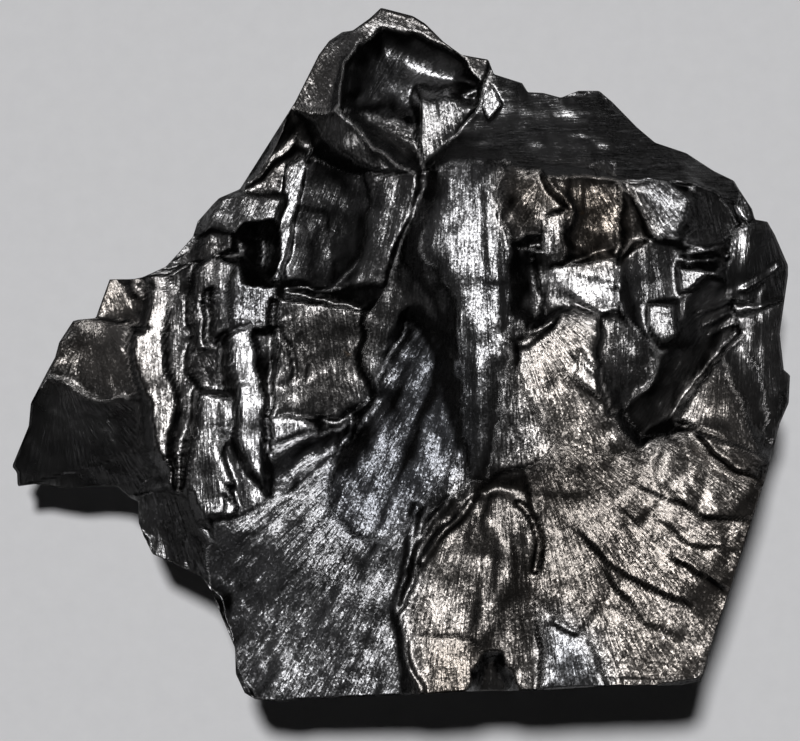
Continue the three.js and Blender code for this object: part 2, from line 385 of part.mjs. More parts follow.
// Flat splits that trim the walls: the way each one faces in degrees anticlockwise from +X, how
// far from the heart it meets the ground, and how far it leans out for each millimetre of height.
const SPLITS = [
  { facing: -90, foot: 31, lean: 1.15 },
  { facing: -62, foot: 36, lean: 1.3 },
  { facing: -16, foot: 32, lean: 1.25 },
  { facing: 22, foot: 30, lean: 1.3 },
  { facing: 58, foot: 25, lean: 1.2 },
  { facing: 96, foot: 27, lean: 1.45 },
  { facing: 138, foot: 23, lean: 1.1 },
  { facing: 172, foot: 30, lean: 2.3 },
  { facing: 205, foot: 27, lean: 1.7 },
  { facing: 240, foot: 29, lean: 1.15 },
];

// Shell-shaped scars in the walls: facing, height of the middle, depth of the bite, and radius.
const SCARS = [
  { facing: -101, height: 23, bite: 2.6, radius: 24 },
  { facing: -70, height: 19, bite: 3.2, radius: 17 },
  { facing: -40, height: 21, bite: 2.4, radius: 22 },
  { facing: -12, height: 13, bite: 3.5, radius: 19 },
  { facing: 12, height: 20, bite: 3, radius: 14 },
  { facing: 38, height: 15, bite: 3.4, radius: 18 },
  { facing: 66, height: 20, bite: 3, radius: 15 },
  { facing: 88, height: 14, bite: 4, radius: 20 },
  { facing: 112, height: 24, bite: 2.4, radius: 16 },
  { facing: 132, height: 16, bite: 3.4, radius: 17 },
  { facing: 152, height: 18, bite: 2.8, radius: 13 },
  { facing: 186, height: 13, bite: 2.6, radius: 15 },
  { facing: 218, height: 13, bite: 3.2, radius: 16 },
  { facing: 236, height: 20, bite: 2.6, radius: 15 },
  { facing: 251, height: 9, bite: 3, radius: 14 },
];

// ---------------------------------------------------------------- small tools

const clamp = (value, low = 0, high = 1) => Math.min(Math.max(value, low), high);
const mix = (a, b, t) => a + (b - a) * t;
const radians = (degrees) => (degrees * Math.PI) / 180;

/** Rises from 0 to 1 as t goes from 0 to 1, level at both ends. */
function ease(t) {
  const s = clamp(t);
  return s * s * (3 - 2 * s);
}

/** A fixed number from 0 to 1 for the cell (i, j) of layer k. */
function scatter(i, j, k) {
  const value = Math.sin(i * 127.1 + j * 311.7 + k * 74.7) * 43758.5453;
  return value - Math.floor(value);
}

/** Smooth unevenness from -1 to 1: numbers scattered on unit cells and blended between them. */
function noise(x, y, k) {
  const i = Math.floor(x);
  const j = Math.floor(y);
  const blend = (t) => t * t * t * (t * (t * 6 - 15) + 10);
  const u = blend(x - i);
  const v = blend(y - j);
  const near = mix(scatter(i, j, k), scatter(i + 1, j, k), u);
  const far = mix(scatter(i, j + 1, k), scatter(i + 1, j + 1, k), u);
  return mix(near, far, v) * 2 - 1;
}

/** Several sizes of unevenness added together, each half as big and half as strong as the last. */
function roughness(x, y, k, sizes) {
  let sum = 0;
  let total = 0;
  for (let m = 0; m < sizes; m += 1) {
    sum += noise(x * 2 ** m + m * 17.3, y * 2 ** m - m * 9.1, k + m) / 2 ** m;
    total += 1 / 2 ** m;
  }
  return sum / total;
}

/** Chipped facets about `size` across: the lowest of the tilted cones of the nearest cells. */
function chips(x, y, size, k) {
  const home = [Math.floor(x / size), Math.floor(y / size)];
  let lowest = Infinity;
  for (let i = home[0] - 1; i <= home[0] + 1; i += 1) {
    for (let j = home[1] - 1; j <= home[1] + 1; j += 1) {
      const dx = x - (i + 0.5 + 0.7 * (scatter(i, j, k) - 0.5)) * size;
      const dy = y - (j + 0.5 + 0.7 * (scatter(i, j, k + 1) - 0.5)) * size;
      const tilt = (scatter(i, j, k + 2) - 0.5) * dx + (scatter(i, j, k + 3) - 0.5) * dy;
      const cone = 0.55 * Math.hypot(dx, dy) + 0.25 * size * scatter(i, j, k + 4);
      lowest = Math.min(lowest, 0.9 * tilt + cone);
    }
  }
  return -lowest / size;
}

// ---------------------------------------------------------------- lines and patches

/** Nearest place on a run of straight pieces: distance, side (+ is left) and share of the run. */
function nearestOn(line, x, y, closed) {
  const count = closed ? line.length : line.length - 1;
  let best = { distance: Infinity, side: 0, share: 0, level: 0 };
  for (let i = 0; i < count; i += 1) {
    const [ax, ay, az = 0] = line[i];
    const [bx, by, bz = 0] = line[(i + 1) % line.length];
    const ex = bx - ax;
    const ey = by - ay;
    const t = clamp(((x - ax) * ex + (y - ay) * ey) / (ex * ex + ey * ey));
    const distance = Math.hypot(x - ax - t * ex, y - ay - t * ey);
    if (distance < best.distance) {
      const side = Math.sign(ex * (y - ay) - ey * (x - ax));
      best = { distance, side: side * distance, share: (i + t) / count, level: mix(az, bz, t) };
    }
  }
  return best;
}

/** True if (x, y) lies inside the closed run of corners. */
function isInside(corners, x, y) {
  let inside = false;
  for (let i = 0; i < corners.length; i += 1) {
    const [ax, ay] = corners[i];
    const [bx, by] = corners[(i + 1) % corners.length];
    if (ay > y !== by > y && x < ((bx - ax) * (y - ay)) / (by - ay) + ax) {
      inside = !inside;
    }
  }
  return inside;
}

/** Height of the smooth sheet stretched between a patch's corners (mean value coordinates). */
function stretched(corners, x, y) {
  const count = corners.length;
  const reach = corners.map(([cx, cy]) => Math.max(Math.hypot(cx - x, cy - y), 1e-6));
  const halfTan = corners.map(([cx, cy], i) => {
    const [nx, ny] = corners[(i + 1) % count];
    const cross = (cx - x) * (ny - y) - (cy - y) * (nx - x);
    const dot = (cx - x) * (nx - x) + (cy - y) * (ny - y);
    return cross / Math.max(reach[i] * reach[(i + 1) % count] + dot, 1e-5);
  });
  let weights = 0;
  let heights = 0;
  corners.forEach(([, , height], i) => {
    const weight = (halfTan[(i + count - 1) % count] + halfTan[i]) / reach[i];
    weights += weight;
    heights += weight * height;
  });
  return heights / weights;
}

/**
 * One break face laid over the height so far. Inside its corners the face is the surface. Beyond
 * them the ground may climb or fall away from the border by no more than a steep bank allows.
 */
function layFace(height, face, x, y) {
  const border = nearestOn(face.corners, x, y, true);
  if (isInside(face.corners, x, y)) {
    const dish = 1 - (1 - clamp(border.distance / face.reach)) ** 2;
    return stretched(face.corners, x, y) + face.sag * dish;
  }
  const bank = (0.8 + 2 / face.soft) * border.distance;
  return clamp(height, border.level - bank, border.level + bank);
}

/** Height that a ridge (or, if negative, a groove) adds at (x, y). */
function ridgeHeight(rib, x, y) {
  const { distance } = nearestOn(rib.line, x, y, false);
  return rib.rise * Math.exp(-1.2 * (distance / rib.width) ** 2);
}

/** Height that a step adds: sharp on the right of its line, fading away to the left. */
function stepHeight(step, x, y) {
  const { side, share } = nearestOn(step.line, x, y, false);
  const lift = clamp(0.5 + side / 0.4) * Math.exp(-Math.max(side, 0) / step.fade);
  return step.rise * lift * clamp(6 * share * (1 - share)) * Math.exp(-9 * Math.max(-side, 0));
}

/** Height of the upper side over the plan point (x, y). */
function topHeight(x, y) {
  const wx = x + 1.0 * noise(x / 7.5, y / 7.5, 5) + 0.4 * noise(x / 2.4, y / 2.4, 7);
  const wy = y + 1.0 * noise(x / 7.5, y / 7.5, 6) + 0.4 * noise(x / 2.4, y / 2.4, 8);
  let height = FACES.reduce((sofar, face) => layFace(sofar, face, wx, wy), RIM_LEVEL);
  for (const rib of RIBS) height += ridgeHeight(rib, wx, wy);
  for (const step of STEPS) height += stepHeight(step, wx, wy);
  const sx = x + 0.7 * noise(x / 2.5, y / 2.5, 41);
  const sy = y + 0.7 * noise(x / 2.5, y / 2.5, 42);
  return height + 0.55 * roughness(x / 8, y / 8, 31, 3) + 0.5 * chips(sx, sy, 5.2, 50);
}

// ---------------------------------------------------------------- walls

/** Distance from the heart to the outline, looking along `angle`. */
function outlineReach(angle) {
  const dx = Math.cos(angle);
  const dy = Math.sin(angle);
  let reach = 0;
  OUTLINE.forEach(([ax, ay], i) => {
    const [bx, by] = OUTLINE[(i + 1) % OUTLINE.length];
    const ex = bx - ax;
    const ey = by - ay;
    const cross = dx * ey - dy * ex;
    const along = ((ax - HEART[0]) * ey - (ay - HEART[1]) * ex) / cross;
    const t = ((ax - HEART[0]) * dy - (ay - HEART[1]) * dx) / cross;
    if (along > 0 && t >= -1e-9 && t <= 1 + 1e-9) reach = Math.max(reach, along);
  });
  return reach;
}

/** The same distance averaged over thirty degrees to either side. */
function calmReach(angle) {
  let sum = 0;
  for (let turn = -30; turn <= 30; turn += 1.5) sum += outlineReach(angle + radians(turn));
  return sum / 41;
}

/** Wall distance once the flat splits have trimmed it. */
function splitReach(angle, height, outline) {
  let reach = outline;
  for (const split of SPLITS) {
    const towards = Math.cos(angle - radians(split.facing));
    if (towards > 0.2) reach = Math.min(reach, (split.foot + split.lean * height) / towards);
  }
  return reach;
}

const BITES = SCARS.map((scar) => {
  const angle = radians(scar.facing);
  const wall = splitReach(angle, scar.height, outlineReach(angle));
  return { ...scar, angle, middle: wall + scar.radius - scar.bite };
});

/** Wall distance once the shell-shaped scars have been taken out of it too. */
function wallReach(angle, height, outline, rim) {
  let reach = splitReach(angle, height, outline);
  for (const bite of BITES) {
    const ahead = bite.middle * Math.cos(angle - bite.angle);
    const aside = Math.hypot(bite.middle * Math.sin(angle - bite.angle), height - bite.height);
    if (ahead > 0 && aside < bite.radius) {
      reach = Math.min(reach, ahead - Math.sqrt(bite.radius ** 2 - aside ** 2));
    }
  }
  return mix(outline, reach, ease((rim - height) / RIM_FADE));
}

// ---------------------------------------------------------------- the closed surface

/** Angle and share of the reach for a square grid point, the square being drawn out to a disc. */
function discPlace(i, j) {
  const u = (2 * i) / (GRID - 1) - 1;
  const v = (2 * j) / (GRID - 1) - 1;
  const dx = u * Math.sqrt(1 - (v * v) / 2);
  const dy = v * Math.sqrt(1 - (u * u) / 2);
  return { angle: Math.atan2(dy, dx), share: Math.hypot(dx, dy) };
}

/** A plan point at a height, drawn in towards the middle as the lump narrows upwards. */
function drawnIn(x, y, height, level) {
  const scale = 1 - (level - RIM_LEVEL) * DRAW_IN;
  return [x * scale, y * scale, height];
}

/** Grid places round the edge of the square, anticlockwise. */
function edgePlaces() {
  const last = GRID - 1;
  const places = [];
  for (let k = 0; k < last; k += 1) places.push([k, 0]);
  for (let k = 0; k < last; k += 1) places.push([last, k]);
  for (let k = last; k > 0; k -= 1) places.push([k, last]);
  for (let k = last; k > 0; k -= 1) places.push([0, k]);
  return places;
}

/** Points and faces of the upper side. */
function addTop(points, faces) {
  for (let j = 0; j < GRID; j += 1) {
    for (let i = 0; i < GRID; i += 1) {
      const { angle, share } = discPlace(i, j);
      const reach = share * mix(calmReach(angle), outlineReach(angle), share ** 3);
      const x = HEART[0] + reach * Math.cos(angle);
      const y = HEART[1] + reach * Math.sin(angle);
      const height = topHeight(x, y);
      points.push(drawnIn(x, y, height, height));
    }
  }
  for (let j = 0; j < GRID - 1; j += 1) {
    for (let i = 0; i < GRID - 1; i += 1) {
      const a = j * GRID + i;
      addQuad(faces, a, a + 1, a + GRID + 1, a + GRID);
    }
  }
}

/** Two triangles for one four-cornered face, corners anticlockwise seen from outside. */
function addQuad(faces, a, b, c, d) {
  faces.push(a, b, c, a, c, d);
}

/** Points and faces of the walls; returns the ring of points on the ground. */
function addWalls(points, faces) {
  let ring = edgePlaces().map(([i, j]) => j * GRID + i);
  const columns = edgePlaces().map(([i, j], k) => {
    const { angle } = discPlace(i, j);
    return { angle, outline: outlineReach(angle), rim: points[ring[k]][2] };
  });
  for (let row = 1; row <= WALL_ROWS; row += 1) {
    const first = points.length;
    for (const { angle, outline, rim } of columns) {
      const height = rim * (1 - row / WALL_ROWS);
      const reach = wallReach(angle, height, outline, rim);
      const x = HEART[0] + reach * Math.cos(angle);
      const y = HEART[1] + reach * Math.sin(angle);
      points.push(drawnIn(x, y, height, rim));
    }
    ring.forEach((upper, k) => {
      const next = (k + 1) % ring.length;
      addQuad(faces, upper, first + k, first + next, ring[next]);
    });
    ring = ring.map((_, k) => first + k);
  }
  return ring;
}

/** The flat split the lump rests on. */
function addBase(points, faces, ring) {
  const middle = points.length;
  points.push([HEART[0], HEART[1], 0]);
  ring.forEach((corner, k) => faces.push(middle, ring[(k + 1) % ring.length], corner));
}

/** The whole lump as one closed surface, centred over the origin and standing on z = 0. */
function coalGeometry() {
  const points = [];
  const faces = [];
  addTop(points, faces);
  addBase(points, faces, addWalls(points, faces));
  const geometry = new THREE.BufferGeometry();
  geometry.setAttribute("position", new THREE.Float32BufferAttribute(points.flat(), 3));
  geometry.setIndex(faces);
  geometry.computeBoundingBox();
  const middle = geometry.boundingBox.getCenter(new THREE.Vector3());
  geometry.translate(-middle.x, -middle.y, -geometry.boundingBox.min.z);
  geometry.computeVertexNormals();
  return geometry;
}

const coal = new THREE.MeshStandardMaterial({
  color: COAL_COLOUR,
  roughness: 0.3,
  metalness: 0.55,
});
const lump = new THREE.Mesh(coalGeometry(), coal);
lump.name = "coal_lump";

const specimen = new THREE.Group();
specimen.name = "anthracite_specimen";
specimen.add(lump);

export default specimen;
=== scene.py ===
# %% [markdown]
# # A lump of anthracite
# Anthracite is the hardest coal. It breaks like glass: shell-shaped (conchoidal) scoops, fine
# feathery striations that fan out from where each crack began, and sharp edges where two
# breaks meet. This lesson builds one palm-sized lump from those breaks, gives it the mirror-black
# shine of coal, and stands it on pale paper under one small lamp beside the camera.
#
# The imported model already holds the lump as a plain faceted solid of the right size. Its looks
# come from a much finer skin worked out here from the same recipe, so the solid only lends its
# box and its place.

# %% Load the frame and measure the solid
import math
import bpy
import numpy as np
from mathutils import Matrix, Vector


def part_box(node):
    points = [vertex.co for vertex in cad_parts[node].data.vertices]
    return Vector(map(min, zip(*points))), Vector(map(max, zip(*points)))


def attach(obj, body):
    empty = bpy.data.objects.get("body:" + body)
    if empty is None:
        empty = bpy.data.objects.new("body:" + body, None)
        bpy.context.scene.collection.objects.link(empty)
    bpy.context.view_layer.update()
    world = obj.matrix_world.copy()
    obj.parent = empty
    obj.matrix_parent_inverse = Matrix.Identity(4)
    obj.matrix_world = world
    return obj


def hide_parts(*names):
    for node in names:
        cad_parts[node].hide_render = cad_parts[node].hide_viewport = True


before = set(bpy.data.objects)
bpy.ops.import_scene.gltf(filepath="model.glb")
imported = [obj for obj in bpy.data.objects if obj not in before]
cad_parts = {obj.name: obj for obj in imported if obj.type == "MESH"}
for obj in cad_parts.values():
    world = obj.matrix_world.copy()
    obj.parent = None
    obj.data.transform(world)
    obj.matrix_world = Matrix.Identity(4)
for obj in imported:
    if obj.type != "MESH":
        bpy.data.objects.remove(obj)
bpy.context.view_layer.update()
low, high = (np.array(corner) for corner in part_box("coal_lump"))
MM = 0.001  # the lump's sizes below are in millimetres, and turn into metres only in the mesh

# %% [markdown]
# ## Unevenness that can be repeated
# Broken coal is uneven at every size, but the same each time you look. Random numbers would do,
# if they stayed put, so each number here is worked out from its own cell of a grid. Blending
# between neighbouring cells gives soft unevenness. Setting a small leaning cone in each cell and
# keeping the lowest of them gives sharp chips.

# %% Soft unevenness
ENDLESS = 1e9  # cells round a pattern that never has to meet itself


def scatter(i, j, k):
    """A fixed number from 0 to 1 for cell (i, j) of layer k: the fraction of a large sine."""
    value = np.sin(i * 127.1 + j * 311.7 + k * 74.7) * 43758.5453
    return value - np.floor(value)


def noise(x, y, k, around=ENDLESS):
    """Numbers scattered on unit cells, blended with a smooth fifth-power step: -1 to 1.

    `around` is how many cells there are before the pattern meets itself again along x.
    """
    i, j = np.floor(x), np.floor(y)
    u, v = x - i, y - j
    u = u * u * u * (u * (u * 6 - 15) + 10)
    v = v * v * v * (v * (v * 6 - 15) + 10)
    here, beside = np.mod(i, around), np.mod(i + 1, around)
    near = scatter(here, j, k) * (1 - u) + scatter(beside, j, k) * u
    far = scatter(here, j + 1, k) * (1 - u) + scatter(beside, j + 1, k) * u
    return (near * (1 - v) + far * v) * 2 - 1


def roughness(x, y, k, sizes, around=ENDLESS):
    """Several sizes of noise added, each half as large and half as strong as the one before.

    Each size is shifted, so that the cells of two sizes don't line up. Along x the shift is
    left out where the pattern has to meet itself.
    """
    total = 0
    for m in range(sizes):
        shift = m * 17.3 * (around == ENDLESS)
        total = total + noise(x * 2**m + shift, y * 2**m - m * 9.1, k + m, around * 2**m) / 2**m
    return total / sum(0.5**m for m in range(sizes))


sample_x, sample_y = np.array([0.2, 1.7, 3.3]), np.array([0.5, 0.1, 2.2])
print("noise at three places:", np.round(noise(sample_x, sample_y, 5), 3))

# %% Sharp chips
def chips(x, y, size, k, around=ENDLESS):
    """Chipped facets: the lowest of the leaning cones of the nine nearest cells, turned over.

    A cell's cone stands somewhere near the middle of the cell and leans its own way.
    """
    i0, j0 = np.floor(x / size), np.floor(y / size)
    lowest = np.full(np.shape(x), np.inf)
    for di in (-1, 0, 1):
        for dj in (-1, 0, 1):
            i, j = i0 + di, j0 + dj
            n = np.mod(i, around)
            dx = x - (i + 0.5 + 0.7 * (scatter(n, j, k) - 0.5)) * size
            dy = y - (j + 0.5 + 0.7 * (scatter(n, j, k + 1) - 0.5)) * size
            lean = (scatter(n, j, k + 2) - 0.5) * dx + (scatter(n, j, k + 3) - 0.5) * dy
            cone = 0.55 * np.hypot(dx, dy) + 0.25 * size * scatter(n, j, k + 4)
            lowest = np.minimum(lowest, 0.9 * lean + cone)
    return -lowest / size


print("chips from", np.round(chips(*np.meshgrid(np.arange(20.0), np.arange(20.0)), 4, 9).min(), 2))

# %% [markdown]
# ## The outline
# Seen from above, the lump is a broken shield: a rounded lobe at the top, long straight flanks
# on the right and along the bottom, and a low block stepping out on the left. The whole outline
# can be seen from one point inside it, so every other point can be reached by an angle and a
# share of the way out.

# %% Outline and the distance to it
OUTLINE = np.array([
    (-3.1, 49.8), (-4.7, 48.3), (-7.2, 46.5), (-8.7, 46.3), (-10.6, 45), (-12.1, 43),
    (-15.5, 36.2), (-20.2, 28.8), (-23.5, 23.6), (-26.5, 22.3), (-27.4, 21.4), (-29.6, 18.9),
    (-30.3, 16.7), (-32.7, 14), (-34.2, 12.4), (-37.5, 10.9), (-39, 10.6), (-42.3, 10.6),
    (-44, 5.9), (-44.3, 5), (-47.5, 4.7), (-49.6, 1.5), (-50.2, -0.7), (-51.2, -2.5),
    (-53.7, -7.3), (-54, -10.6), (-56.4, -16.4), (-55.7, -17.3), (-55.6, -19.3), (-53.4, -18.9),
    (-50.8, -19.3), (-47.9, -19.7), (-45.3, -19.3), (-41.3, -19.3), (-39.4, -20.9),
    (-38.2, -21.5), (-38.1, -24.6), (-37.4, -26.5), (-36.1, -29.1), (-33.1, -30.4), (-29, -32.4),
    (-27.5, -34.6), (-26.1, -38.2), (-24.2, -42.7), (-24.1, -46.4), (-22.8, -49.2),
    (-21.3, -50.1), (-17.3, -50.5), (-15, -50.1), (-0.4, -49.5), (3.7, -49.4), (8.9, -49),
    (15.8, -48.9), (20.3, -48.8), (30.3, -48.2), (40.2, -48.1), (43.1, -47.5), (43.9, -45.6),
    (45, -40.8), (47.2, -34.6), (50.1, -25.4), (52.7, -17.3), (54.5, -10.3), (55.8, -7.3),
    (56, -3.3), (55.1, -2.5), (54.5, 2.7), (55.7, 11.1), (55.7, 12.6), (53.8, 17), (52.7, 18.9),
    (50.9, 19.2), (50.5, 20.7), (48.6, 23.6), (47.9, 24.8), (45, 26.2), (41, 28.8), (36.5, 30.3),
    (33.9, 32.5), (30.3, 36.2), (28.4, 37.8), (25.4, 37.8), (22.9, 36.8), (20.3, 37.5),
    (18.1, 37.6), (17.3, 38.9), (13.2, 40.2), (12.4, 42.3), (8.5, 43), (5.9, 44.9), (3.3, 47.5),
    (1.5, 48.6), (-0.4, 49.1),
])
HEART = np.array([4.0, -2.5])  # the whole outline can be seen from here
RIM_LEVEL = 30.0  # the height that the outline is drawn at
DRAW_IN = 1 / 620  # how much the lump narrows for each millimetre it rises


def outline_reach(angle):
    """Distance from the heart to the outline, along each angle: where the ray crosses an edge."""
    dx, dy = np.cos(angle), np.sin(angle)
    reach = np.zeros(np.shape(angle))
    for (ax, ay), (bx, by) in zip(OUTLINE, np.roll(OUTLINE, -1, axis=0)):
        ex, ey, hx, hy = bx - ax, by - ay, ax - HEART[0], ay - HEART[1]
        cross = dx * ey - dy * ex
        cross = np.where(np.abs(cross) < 1e-12, 1e-12, cross)
        along = (hx * ey - hy * ex) / cross
        share = (hx * dy - hy * dx) / cross
        hit = (along > 0) & (share >= -1e-9) & (share <= 1 + 1e-9)
        reach = np.where(hit, np.maximum(reach, along), reach)
    return reach


print("outline spans", np.ptp(OUTLINE, axis=0), "mm; reach at 0 and 90 degrees:",
      np.round(outline_reach(np.radians([0.0, 90.0])), 1))

# %% [markdown]
# ## The break faces
# Each crack left its own face. A face is given by its corners with their heights, how far its
# middle sags or swells and how soon, how gentle the bank beside it is, where its crack started,
# how strong its striations are, and its finish: a tint from bluish (-1) to brown (+1) and a
# polish from crumbly (0) to glassy (1). They are laid one over another, later ones on top.

